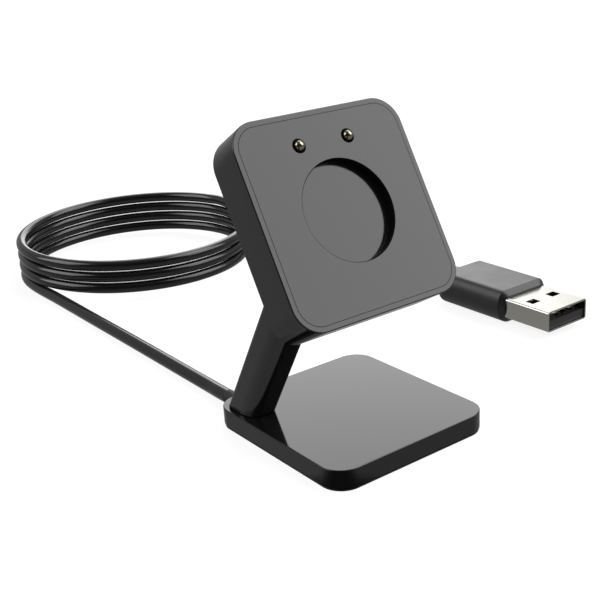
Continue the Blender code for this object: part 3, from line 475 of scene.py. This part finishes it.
cover_inset = RIM_WIDTH + JOINT
plate_profile = eased([(COVER_REACH, -COVER_THICKNESS, 0), (cover_inset, -COVER_THICKNESS, COVER_BACK_EDGE),
                       (cover_inset, 0, COVER_EDGE), (COVER_REACH, 0, 0)])
cover = skin("face_panel", rounded_block(HEAD_WIDTH, HEAD_HEIGHT, HEAD_CORNER, plate_profile))
print("plate faces", len(cover.data.polygons))

# %% The pocket and the pins' holes
POCKET_RADIUS = 8.95 * MM
POCKET_MOUTH = 0.2 * MM
POCKET_DEPTH = 1.75 * MM
POCKET_FOOT = 0.1 * MM
POCKET_FLOOR = 0.8 * MM
PIN_X = 5.1 * MM
PIN_RISE = 12.3 * MM
PIN_HOLE = 1.25 * MM
PIN_MOUTH = 0.06 * MM
PIN_FOOT = 0.05 * MM
CUT_SPARE = 0.5 * MM
CUT_REACH = 1.0 * MM


def hole_rings(radius, depth, mouth, floor):
    """Rings of a hole's cutter: a flat floor with a small radius, a straight wall, and a quarter
    round that widens by mouth at the face, carried on outside it."""
    t = np.linspace(0, math.pi / 2, 7)
    flare = np.column_stack([radius + mouth * (1 - np.cos(t)), mouth * (np.sin(t) - 1)])
    foot = np.column_stack([radius - floor * (1 - np.sin(t)), -depth + floor * (1 - np.cos(t))])
    straight = np.array([(radius, -depth + floor + SUPPORT), (radius, -mouth - SUPPORT)])
    out = np.array([(radius + mouth, CUT_REACH)])
    return turned_rings(np.vstack([foot, straight, flare, out]))


bowl_profile = np.array([(POCKET_RADIUS + POCKET_FLOOR, -POCKET_DEPTH - POCKET_FLOOR),
                         (POCKET_RADIUS + POCKET_FLOOR, -COVER_THICKNESS / 2)])
combine(cover, skin("bowl", turned_rings(bowl_profile)), "UNION")
sunk = hole_rings(POCKET_RADIUS, POCKET_DEPTH, POCKET_MOUTH, POCKET_FOOT)
combine(cover, skin("pocket", sunk), "DIFFERENCE")
for across in (-PIN_X, PIN_X):
    pin_way = hole_rings(PIN_HOLE, COVER_THICKNESS + CUT_SPARE, PIN_MOUTH, PIN_FOOT)
    combine(cover, skin("pin_way", pin_way + (across, PIN_RISE, 0)), "DIFFERENCE")
soften(carry(cover, on_head))
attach(cover, "stand")
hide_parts("front_cover")
print("panel faces", len(cover.data.polygons))

# %% [markdown]
# ## The sprung pins
#
# Each contact is a brass plunger, turned on a lathe, plated with gold and pushed
# outwards by a spring in a barrel. Its end is a dome, so it meets the band's
# contact at one point. The Screw modifier would turn the same profile. Here the
# turned rings are carried to the pin's place on the face.

# %% Pins
PIN_RADIUS = 0.95 * MM
PIN_PROUD = 0.95 * MM
DOME_HEIGHT = 0.90 * MM
COLLAR_RADIUS = 1.2 * MM
COLLAR_TOP = -1.82 * MM
COLLAR_END = -2.22 * MM
DOME_START = 0.06

# The dome's first ring lies a little off the axis, and the skin's end fan closes it.
t = np.linspace(DOME_START, math.pi / 2, 16)
dome = np.column_stack([PIN_RADIUS * np.sin(t), PIN_PROUD - DOME_HEIGHT * (1 - np.cos(t))])
lower = np.array([(PIN_RADIUS, COLLAR_TOP), (COLLAR_RADIUS, COLLAR_TOP), (COLLAR_RADIUS, COLLAR_END)])
pins = {}
for side, across in (("left", -PIN_X), ("right", PIN_X)):
    plunger = turned_rings(np.vstack([dome, lower]), 48) + (across, PIN_RISE, 0)
    pins[side] = soften(skin(f"plunger_{side}", on_head(plunger)))
    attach(pins[side], f"{side}_pin")
    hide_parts(f"pin_{side}")
print("pin faces", len(pins["left"].data.polygons))

# %% [markdown]
# ## The gland
#
# A short rubber sleeve holds the cord where it leaves the rear wall. Its end is
# slightly smaller than its root and well rounded, because a sharp end would cut
# into the jacket when the cord bends.

# %% Gland
GLAND_X = -12.4 * MM
GLAND_Z = 1.9 * MM
GLAND_RADIUS = 1.45 * MM
GLAND_MOUTH = 1.37 * MM
GLAND_NECK = 1.15 * MM
GLAND_CORE = 0.4 * MM
GLAND_TAIL = -2.45 * MM
GLAND_FLANGE = -1.45 * MM
GLAND_SHOULDER = 0.05 * MM
GLAND_LENGTH = 4.0 * MM
GLAND_EDGE = 0.1 * MM
GLAND_ROOT_EDGE = 0.12 * MM
GROOVE_EDGE = 0.05 * MM
BASE_REAR = BASE_DEPTH / 2

gland_profile = eased([(GLAND_CORE, GLAND_TAIL, 0), (GLAND_RADIUS, GLAND_TAIL, GLAND_EDGE),
                       (GLAND_RADIUS, GLAND_FLANGE, GLAND_EDGE), (GLAND_NECK, GLAND_FLANGE, GROOVE_EDGE),
                       (GLAND_NECK, GLAND_SHOULDER, GROOVE_EDGE),
                       (GLAND_RADIUS, GLAND_SHOULDER, GLAND_ROOT_EDGE),
                       (GLAND_MOUTH, GLAND_LENGTH, GLAND_EDGE), (GLAND_CORE, GLAND_LENGTH, 0)])
rings = turned_rings(gland_profile, 48)
rings = np.stack([GLAND_X + rings[..., 0], BASE_REAR + rings[..., 2], GLAND_Z + rings[..., 1]], axis=-1)
gland = soften(skin("gland", rings))
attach(gland, "stand")
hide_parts("cord_gland")
print("gland faces", len(gland.data.polygons))

# %% [markdown]
# ## The plug's grip
#
# PVC is moulded round the plug in one shot: a flat top with soft shoulders, sides
# that bulge, a bevel round the front and a tapered sleeve for the cord at the
# rear. Its end view changes along its length, so it is a loft: every ring has
# equally many points in the same order, from the front face to the sleeve's end.

# %% The grip's end views
PLUG_TIP = np.array([58.87, 1.19, 3.75]) * MM
GRIP_WIDTH = 15.0 * MM
GRIP_FLAT = 10.6 * MM
GRIP_HEIGHT = 7.5 * MM


def on_plug(points):
    """Carries points to the plug: its tip + x across + y up, and z towards the tip along -Y."""
    return PLUG_TIP + np.stack([points[..., 0], -points[..., 2], points[..., 1]], axis=-1)


def grip_section(inset):
    """End view of the grip, set in: shoulders are quarters of ellipses, the lower sides quarters of
    circles, and top and bottom are flat between them."""
    side, high, flat = GRIP_WIDTH / 2, GRIP_HEIGHT / 2, GRIP_FLAT / 2
    q = np.linspace(0, math.pi / 2, 25)
    top = np.column_stack([np.linspace(0, flat, 13)[:-1], np.full(12, high)])
    shoulder = np.column_stack([flat + (side - flat) * np.sin(q), high * np.cos(q)])
    belly = np.column_stack([side - high + high * np.cos(q[1:]), -high * np.sin(q[1:])])
    under = np.column_stack([np.linspace(side - high, 0, 13)[1:], np.full(12, -high)])
    right = np.vstack([top, shoulder, belly, under])
    whole = np.vstack([right, right[-2:0:-1] * (-1, 1)])
    return whole * ((side - inset) / side, (high - inset) / high)


def grip_ring(inset, at):
    """The grip's end view at a distance behind the plug's tip."""
    flat = grip_section(inset)
    return np.column_stack([flat, np.full(len(flat), -at)])


def neck_ring(radius, at):
    """A round end view, with its points at the same angles as the grip's."""
    flat = grip_section(0)
    angle = np.arctan2(flat[:, 1], flat[:, 0])
    return np.column_stack([radius * np.cos(angle), radius * np.sin(angle), np.full(len(flat), -at)])


print("points round the grip", len(grip_section(0)))

# %% Grip
SHELL_EXPOSED = 11.6 * MM
SHELL_BURIED = 6.0 * MM
SHELL_WIDTH = 12.0 * MM
SHELL_HEIGHT = 4.5 * MM
SHELL_CORNER = 0.6 * MM
SEAT = 0.06 * MM
GRIP_LENGTH = 19.6 * MM
GRIP_CHAMFER = 1.1 * MM
GRIP_REAR = 0.8 * MM
FRONT_REACH = 1.6 * GRIP_CHAMFER
NECK_RADIUS = 3.2 * MM
NECK_END = 2.1 * MM
NECK_LENGTH = 9.6 * MM
NECK_ROUND = 0.3 * MM

grip_front = SHELL_EXPOSED
grip_back = grip_front + GRIP_LENGTH
neck_back = grip_back + NECK_LENGTH
q = np.linspace(0, math.pi / 2, 7)
rings = [grip_ring(FRONT_REACH, grip_front), grip_ring(GRIP_CHAMFER + SUPPORT, grip_front),
         grip_ring(GRIP_CHAMFER, grip_front), grip_ring(GRIP_CHAMFER - SUPPORT, grip_front + SUPPORT),
         grip_ring(SUPPORT, grip_front + GRIP_CHAMFER - SUPPORT), grip_ring(0, grip_front + GRIP_CHAMFER),
         grip_ring(0, grip_front + GRIP_CHAMFER + SUPPORT), grip_ring(0, grip_back - GRIP_REAR - SUPPORT)]
rings += [grip_ring(GRIP_REAR * (1 - math.cos(a)), grip_back - GRIP_REAR * (1 - math.sin(a))) for a in q]
rings += [grip_ring(GRIP_REAR + SUPPORT, grip_back), neck_ring(NECK_RADIUS + SUPPORT, grip_back),
          neck_ring(NECK_RADIUS, grip_back), neck_ring(NECK_RADIUS, grip_back + SUPPORT),
          neck_ring(NECK_END, neck_back - NECK_ROUND)]
rings += [neck_ring(NECK_END - NECK_ROUND * (1 - math.cos(a)), neck_back - NECK_ROUND * (1 - math.sin(a)))
          for a in q]
grip = skin("plug_grip", on_plug(np.array(rings)))

# The shell's seat in the grip is wider than the shell by a hair on every side.
pocket_profile = np.array([(0, -grip_front - SHELL_BURIED), (0, 0)])
pocket = rounded_block(SHELL_WIDTH + 2 * SEAT, SHELL_HEIGHT + 2 * SEAT, SHELL_CORNER + SEAT,
                       pocket_profile, 8)
soften(combine(grip, skin("shell_pocket", on_plug(pocket)), "DIFFERENCE"))
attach(grip, "stand")
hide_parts("plug_overmould")
print("grip faces", len(grip.data.polygons))

# %% [markdown]
# ## The plug's shell
#
# The shell is steel strip bent into a flat tube and plated with nickel, with four
# windows that the socket's springs drop into. Its wall is 0.35 mm. A closed loop
# of four profile corners carried round the outline gives both sides of the wall
# and the mouth's edge, and small blocks cut the windows.

# %% Shell
SHELL_WALL = 0.35 * MM
WINDOW_WIDTH = 2.5 * MM
WINDOW_LENGTH = 2.1 * MM
WINDOW_X = 3.1 * MM
WINDOW_Y = 6.6 * MM
WINDOW_CORNER = 0.15 * MM
SHELL_END_GAP = 0.1 * MM
LIP = 0.08 * MM
LIP_MIDDLE = 0.3 * LIP

shell_rear = grip_front + SHELL_BURIED - SHELL_END_GAP
shell_profile = np.array([(0, -shell_rear), (0, -LIP - SUPPORT), (0, -LIP), (LIP_MIDDLE, -LIP_MIDDLE),
                          (LIP, 0), (LIP + SUPPORT, 0), (SHELL_WALL, 0), (SHELL_WALL, -SUPPORT),
                          (SHELL_WALL, -shell_rear)])
tube = rounded_block(SHELL_WIDTH, SHELL_HEIGHT, SHELL_CORNER, shell_profile, 8)
shell = skin("plug_shell_steel", on_plug(tube), looped=True)
for across in (-WINDOW_X, WINDOW_X):
    for level_at in (-SHELL_HEIGHT / 2, SHELL_HEIGHT / 2):
        through = np.array([(0, -2 * SHELL_WALL), (0, 2 * SHELL_WALL)])
        window = rounded_block(WINDOW_WIDTH, WINDOW_LENGTH, WINDOW_CORNER, through, 4)
        window = np.stack([window[..., 0] + across, window[..., 2] + level_at,
                           window[..., 1] - WINDOW_Y], axis=-1)
        combine(shell, skin("window", on_plug(window)), "DIFFERENCE")
soften(shell)
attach(shell, "stand")
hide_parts("plug_shell")
print("shell faces", len(shell.data.polygons))

# %% [markdown]
# ## Materials
#
# A material is a small graph of nodes. One helper adds a node, sets its settings
# and joins its sockets, and one function turns a written sRGB colour to the
# linear numbers that light works with. Every finish below has its own pattern,
# read from Object coordinates, which are metres in the frame: a slow drift of
# colour and sheen over some millimetres, as in any moulded or plated surface, and
# a fine bump. The bump's real grain is a few hundredths of a millimetre, too fine
# to show, so it is drawn a few tenths coarse.

# %% Material helpers
DRIFT_LOW = 0.3
DRIFT_HIGH = 0.7


def linear(code):
    """Linear colour of a hex code: c / 12.92 below 0.04045, else ((c + 0.055) / 1.055) ^ 2.4."""
    c = np.array([int(code[k:k + 2], 16) for k in (1, 3, 5)]) / 255
    return (*np.where(c <= 0.04045, c / 12.92, ((c + 0.055) / 1.055) ** 2.4).tolist(), 1.0)


def add(tree, kind, settings=None, sockets=None):
    """Adds a node. Settings are its properties; a socket takes a value or another node's output."""
    made = tree.nodes.new(kind)
    for name, value in (settings or {}).items():
        setattr(made, name, value)
    for name, value in (sockets or {}).items():
        if isinstance(value, bpy.types.NodeSocket):
            tree.links.new(value, made.inputs[name])
        else:
            made.inputs[name].default_value = value
    return made


def empty_tree(holder):
    """The node tree of a material or world, with nothing in it."""
    holder.use_nodes = True
    holder.node_tree.nodes.clear()
    return holder.node_tree


def finish(name, dark, light, patch, roughness, grain, depth, shader_sockets):
    """A material whose colour and roughness drift between two values over patches of a given size,
    with a fine bump of a given grain and depth, all in metres."""
    made = bpy.data.materials.new(name)
    tree = empty_tree(made)
    place = add(tree, "ShaderNodeTexCoord").outputs["Object"]
    drift = add(tree, "ShaderNodeTexNoise", {"noise_dimensions": "3D"},
                {"Vector": place, "Scale": 1 / patch, "Detail": 4.0, "Roughness": 0.55})
    colour = add(tree, "ShaderNodeMix", {"data_type": "RGBA"},
                 {0: drift.outputs["Fac"], 6: linear(dark), 7: linear(light)})
    sheen = add(tree, "ShaderNodeMapRange", None,
                {"Value": drift.outputs["Fac"], "From Min": DRIFT_LOW, "From Max": DRIFT_HIGH,
                 "To Min": roughness[0], "To Max": roughness[1]})
    texture = add(tree, "ShaderNodeTexNoise", {"noise_dimensions": "3D"},
                  {"Vector": place, "Scale": 1 / grain, "Detail": 2.0, "Roughness": 0.5})
    bump = add(tree, "ShaderNodeBump", None,
               {"Height": texture.outputs["Fac"], "Distance": depth, "Strength": 1.0})
    sockets = {"Base Color": colour.outputs[2], "Roughness": sheen.outputs["Result"],
               "Normal": bump.outputs["Normal"]}
    sockets.update(shader_sockets)
    shader = add(tree, "ShaderNodeBsdfPrincipled", None, sockets)
    add(tree, "ShaderNodeOutputMaterial", None, {"Surface": shader.outputs["BSDF"]})
    return made


def wear(material, *pieces):
    """Gives pieces one material."""
    for piece in pieces:
        piece.data.materials.clear()
        piece.data.materials.append(material)


print("half grey as light", round(linear("#808080")[0], 3))

# %% [markdown]
# ## Finishes of the new pieces
#
# Each finish is what a mould, a die or a bath left on a surface, apart from the
# pocket wall's, whose dark is painted shade. A picture of the surface could be
# wrapped round a piece. Patterns in space need no unwrapping and show no seam. A
# finish's two colours lie close together, because one material hardly drifts, and
# its two roughnesses say how sharply it shows the lamps.

# %% Finishes of the new pieces
# ABS from a polished mould: near black, and so smooth that the base mirrors the stem and the lamps.
abs_polished = finish("ABS polished mould", "#0e0e0f", "#121213", 4 * MM, (0.07, 0.10),
                      0.25 * MM, 0.0003 * MM, {"IOR": 1.50})
# ABS from a mould with a finer polish mark: the same black, with lamps blurred a little more.
abs_satin = finish("ABS satin mould", "#161617", "#1a1a1b", 4 * MM, (0.11, 0.14),
                   0.2 * MM, 0.0004 * MM, {"IOR": 1.50})
# Painted shade for the pocket's wall: ABS made darker, rougher and with a tenth of its sheen, so the wall
# reads as a black ring.
abs_painted_shade = finish("ABS pocket wall painted shade", "#0b0b0c", "#0f0f10", 2 * MM, (0.55, 0.65),
                    0.2 * MM, 0.001 * MM, {"IOR": 1.50, "Specular IOR Level": 0.1})
# Soft PVC drawn through a die: a wet-looking line of light runs along each strand.
pvc_jacket = finish("PVC extruded jacket", "#121213", "#151516", 6 * MM, (0.13, 0.18),
                    0.3 * MM, 0.0003 * MM, {"IOR": 1.50})
# PVC from a blasted mould: lamps spread to an even grey on the flat top.
pvc_grip = finish("PVC moulded grip", "#141415", "#18181a", 5 * MM, (0.35, 0.42),
                  0.25 * MM, 0.002 * MM, {"IOR": 1.52})
# Silicone: dull, with no clear highlight.
rubber = finish("Silicone rubber moulded", "#161617", "#1b1b1c", 3 * MM, (0.55, 0.65),
                0.15 * MM, 0.004 * MM, {"IOR": 1.43})
# Nickel over rolled steel: a warm pale grey that shows the room softly.
nickel = finish("Steel nickel plated", "#b6b5ad", "#bfbeb7", 5 * MM, (0.16, 0.24),
                0.2 * MM, 0.0008 * MM, {"Metallic": 1.0})
# Thin gold over turned brass: a pale gold, with small sharp sparks on the dome.
gold = finish("Brass gold plated", "#948c74", "#9f977f", 0.8 * MM, (0.05, 0.09),
              0.05 * MM, 0.0001 * MM, {"Metallic": 1.0})
# PBT with glass fibre: dark, with a soft broad sheen.
insulator = finish("PBT moulded insulator", "#202020", "#262626", 3 * MM, (0.35, 0.45),
                   0.15 * MM, 0.001 * MM, {"IOR": 1.55})
wear(abs_polished, base)
wear(abs_satin, head, cover)
wear(pvc_jacket, cord)
wear(pvc_grip, grip)
wear(rubber, gland, pad)
wear(nickel, shell)
wear(gold, pins["left"], pins["right"])
print("finishes made", len(bpy.data.materials))

# %% [markdown]
# ## The pocket's wall
#
# The mould is polished where it forms the face. The pocket's wall gets painted
# shade: a darker colour with almost no sheen, so that it reads as a black ring.
# A ring laid into the pocket would show a seam. A second material on the panel's
# own faces keeps one skin, and a face's place and lean say whether it belongs to
# the wall.

# %% The pocket's wall
WALL_STEEP = math.cos(math.radians(10))


def paint_pocket_shade(panel, material):
    """Gives the pocket's wall, mouth and foot a second material, a painted shade: faces inside the
    mouth and above the floor that lean by more than ten degrees from the face."""
    panel.data.materials.append(material)
    shaded_faces = 0
    for face in panel.data.polygons:
        across, up, out = off_head(np.array(face.center))
        steep = abs(Vector(FACE_OUT).dot(face.normal)) < WALL_STEEP
        if steep and math.hypot(across, up) < POCKET_RADIUS + POCKET_MOUTH and out > -POCKET_DEPTH:
            face.material_index = 1
            shaded_faces += 1
    return shaded_faces


# The pocket's wall gets the painted shade material.
print("pocket wall faces", paint_pocket_shade(cover, abs_painted_shade))

# %% [markdown]
# ## Finishes of the CAD nodes that stay
#
# The tongue and contacts in the plug, and everything inside the stand, keep their
# CAD meshes. Only their material slots are filled.

# %% Finishes inside
# Zinc on steel: a cool grey with a slightly cloudy sheen.
zinc = finish("Steel zinc plated", "#a9acb0", "#b6b9bd", 3 * MM, (0.30, 0.40),
              0.2 * MM, 0.002 * MM, {"Metallic": 1.0})
# Drawn spring wire: bright grey lines along each turn.
spring_wire = finish("Spring wire drawn", "#9a9a98", "#a8a8a6", 1 * MM, (0.25, 0.32),
                     0.1 * MM, 0.001 * MM, {"Metallic": 1.0})
# Nickel on a sintered magnet: close to a mirror.
magnet_nickel = finish("Magnet nickel plated", "#b8b6ae", "#c4c2ba", 2 * MM, (0.15, 0.22),
                       0.2 * MM, 0.0008 * MM, {"Metallic": 1.0})
# Green lacquer on glass fibre: a soft gloss over a faint weave.
solder_mask = finish("Solder mask on glass fibre", "#1d4a2c", "#235735", 2 * MM, (0.28, 0.38),
                     0.3 * MM, 0.002 * MM, {"IOR": 1.5})
# Extruded PVC on the two wires: an even, slightly waxy shine.
red_pvc = finish("PVC insulation red", "#8c1d1a", "#9a2520", 2 * MM, (0.3, 0.4),
                 0.2 * MM, 0.001 * MM, {"IOR": 1.52})
black_pvc = finish("PVC insulation black", "#1f1f20", "#262627", 2 * MM, (0.3, 0.4),
                   0.2 * MM, 0.001 * MM, {"IOR": 1.52})
wear(insulator, nodes["plug_tongue"])
wear(gold, *(nodes[f"plug_contact_{k}"] for k in range(1, 5)))
wear(gold, nodes["pin_barrel_left"], nodes["pin_barrel_right"])
wear(spring_wire, nodes["pin_spring_left"], nodes["pin_spring_right"])
wear(magnet_nickel, *(nodes[f"magnet_{k}"] for k in range(1, 5)))
wear(solder_mask, nodes["circuit_board"])
wear(red_pvc, nodes["wire_positive"])
wear(black_pvc, nodes["wire_negative"])
wear(zinc, nodes["base_weight"], nodes["stem_screw"])
wear(abs_satin, nodes["base_plate"])
print("finishes", len(bpy.data.materials))

# %% [markdown]

# %% [markdown]
# ## Floor and world
#
# The stand is dark and smooth, so most of what the eye sees on it is the room. The
# camera sees a white floor, with a soft shadow, and a white background. Mirrored
# rays see the same floor and world, but dimmer, as plastic in a lit tent does: the
# floor a mid grey that falls to black on the camera's side, where the dark of the
# room lies, and walls that are brighter on the side away from it.
#
# The floor's light is an emission that depends on the kind of ray, plus a pale
# matt surface that takes the lamps' light and so holds the shadow. Away from the
# stand the emission rises to full white, so the floor ends without an edge.

# %% Floor
FLOOR_SIZE = 8.0
FLOOR_SEEN = 0.85
POOL_RADIUS = 0.4
FLOOR_MIRRORED = 0.36
FLOOR_PALE = 0.20
DARK_WAY = (-0.707, -0.707, 0.0)
DARK_FROM = 0.93
DARK_TO = 0.995
DARK_SHARE = 0.1

floor_mesh = bpy.data.meshes.new("floor")
half = FLOOR_SIZE / 2
corners = [(-half, -half, 0), (half, -half, 0), (half, half, 0), (-half, half, 0)]
floor_mesh.from_pydata(corners, [], [(0, 1, 2, 3)])
floor = bpy.data.objects.new("floor", floor_mesh)
bpy.context.scene.collection.objects.link(floor)


def ray_kinds(tree):
    """Two outputs: 1 for rays from the camera, and 1 for rays that a gloss or glass has turned."""
    rays = add(tree, "ShaderNodeLightPath")
    turned = add(tree, "ShaderNodeMath", {"operation": "MAXIMUM"},
                 {0: rays.outputs["Is Glossy Ray"], 1: rays.outputs["Is Transmission Ray"]})
    return rays.outputs["Is Camera Ray"], turned.outputs[0]


# Matt white paper, curved up behind on a real set: it gives no highlight, only a shadow.
paper = bpy.data.materials.new("Paper sweep matt")
tree = empty_tree(paper)
direct, mirrored = ray_kinds(tree)
place = add(tree, "ShaderNodeTexCoord").outputs["Object"]
way = add(tree, "ShaderNodeVectorMath", {"operation": "NORMALIZE"}, {0: place})
towards = add(tree, "ShaderNodeVectorMath", {"operation": "DOT_PRODUCT"}, {0: way.outputs[0], 1: DARK_WAY})
grey = add(tree, "ShaderNodeMapRange", {"interpolation_type": "SMOOTHSTEP"},
           {"Value": towards.outputs["Value"], "From Min": DARK_FROM, "From Max": DARK_TO,
            "To Min": FLOOR_MIRRORED, "To Max": DARK_SHARE * FLOOR_MIRRORED})
away = add(tree, "ShaderNodeVectorMath", {"operation": "LENGTH"}, {0: place})
white = add(tree, "ShaderNodeMapRange", {"interpolation_type": "SMOOTHSTEP"},
            {"Value": away.outputs["Value"], "From Min": POOL_RADIUS, "From Max": 2 * POOL_RADIUS,
             "To Min": FLOOR_SEEN, "To Max": 1.0})
in_mirror = add(tree, "ShaderNodeMath", {"operation": "MULTIPLY"}, {0: mirrored, 1: grey.outputs["Result"]})
in_sight = add(tree, "ShaderNodeMath", {"operation": "MULTIPLY"}, {0: direct, 1: white.outputs["Result"]})
light = add(tree, "ShaderNodeMath", {"operation": "MAXIMUM"},
            {0: in_mirror.outputs[0], 1: in_sight.outputs[0]})
glow = add(tree, "ShaderNodeEmission", None, {"Color": (1, 1, 1, 1), "Strength": light.outputs[0]})
paleness = add(tree, "ShaderNodeMix", {"data_type": "FLOAT"}, {0: mirrored, 2: FLOOR_PALE, 3: 0.0})
matt = add(tree, "ShaderNodeBsdfDiffuse", None, {"Color": paleness.outputs[0]})
both = add(tree, "ShaderNodeAddShader", None, {0: glow.outputs[0], 1: matt.outputs[0]})
add(tree, "ShaderNodeOutputMaterial", None, {"Surface": both.outputs[0]})
wear(paper, floor)
print("floor", FLOOR_SIZE, "m wide")

# %% World
BRIGHT_SIDE = (0.62, 0.78, 0.0)
SIDE_FROM = -0.9
SIDE_TO = 0.5
WALL_DARK = 0.03
WALL_BRIGHT = 0.40
AMBIENT = 0.35

world = bpy.data.worlds.new("studio")
bpy.context.scene.world = world
tree = empty_tree(world)
direct, mirrored = ray_kinds(tree)
heading = add(tree, "ShaderNodeTexCoord").outputs["Generated"]
towards = add(tree, "ShaderNodeVectorMath", {"operation": "DOT_PRODUCT"}, {0: heading, 1: BRIGHT_SIDE})
wall = add(tree, "ShaderNodeMapRange", {"interpolation_type": "SMOOTHSTEP"},
           {"Value": towards.outputs["Value"], "From Min": SIDE_FROM, "From Max": SIDE_TO,
            "To Min": WALL_DARK, "To Max": WALL_BRIGHT})
shown = add(tree, "ShaderNodeMix", {"data_type": "FLOAT"},
            {0: mirrored, 2: AMBIENT, 3: wall.outputs["Result"]})
strength = add(tree, "ShaderNodeMix", {"data_type": "FLOAT"}, {0: direct, 2: shown.outputs[0], 3: 1.0})
glow = add(tree, "ShaderNodeBackground", None, {"Color": (1, 1, 1, 1), "Strength": strength.outputs[0]})
add(tree, "ShaderNodeOutputWorld", None, {"Surface": glow.outputs[0]})
print("world", world.name)

# %% [markdown]
# ## Lamps
#
# Five soft boxes stand round the stand, and each is there for what it lends one
# surface. The face mirrors the one in front to the right, the base's top the one
# behind to the right, and the left sides of head and stem the one to the left. A
# narrow box lifts the grip's top, and one overhead the round edges and the coil.
# Each is set by its radiance, which is how bright a perfect mirror would show it,
# where 1 is white.

# %% Lamps
AIM = Vector((10, 50, 20)) * MM
LAMP_DISTANCE = 2.0


def softbox(name, azimuth, elevation, wide, high, radiance):
    """A flat lamp that faces the object. Its middle lies at an azimuth, from -Y towards +X, and an
    elevation, both in degrees; it spans so many degrees across and upwards, and its power in watts
    is pi x area x radiance."""
    a, e = math.radians(azimuth), math.radians(elevation)
    way = Vector((math.sin(a) * math.cos(e), -math.cos(a) * math.cos(e), math.sin(e)))
    data = bpy.data.lights.new(name, "AREA")
    data.shape = "RECTANGLE"
    data.size = 2 * LAMP_DISTANCE * math.tan(math.radians(wide / 2))
    data.size_y = 2 * LAMP_DISTANCE * math.tan(math.radians(high / 2))
    data.energy = math.pi * data.size * data.size_y * radiance
    lamp = bpy.data.objects.new(name, data)
    lamp.location = AIM + way * LAMP_DISTANCE
    lamp.rotation_euler = way.to_track_quat("Z", "Y").to_euler()
    lamp.visible_camera = False
    bpy.context.scene.collection.objects.link(lamp)
    print(name, round(data.energy, 1), "W")


softbox("front_right", azimuth=52, elevation=41, wide=44, high=48, radiance=3.4)
softbox("back_left", azimuth=-116, elevation=36, wide=44, high=38, radiance=3.3)
softbox("back_right", azimuth=145, elevation=30.5, wide=28, high=58, radiance=2.26)
softbox("right_wall", azimuth=124.5, elevation=24, wide=13, high=46, radiance=1.2)
softbox("right_ceiling", azimuth=92, elevation=61, wide=50, high=26, radiance=1.5)

bpy.context.scene.view_settings.view_transform = "Standard"
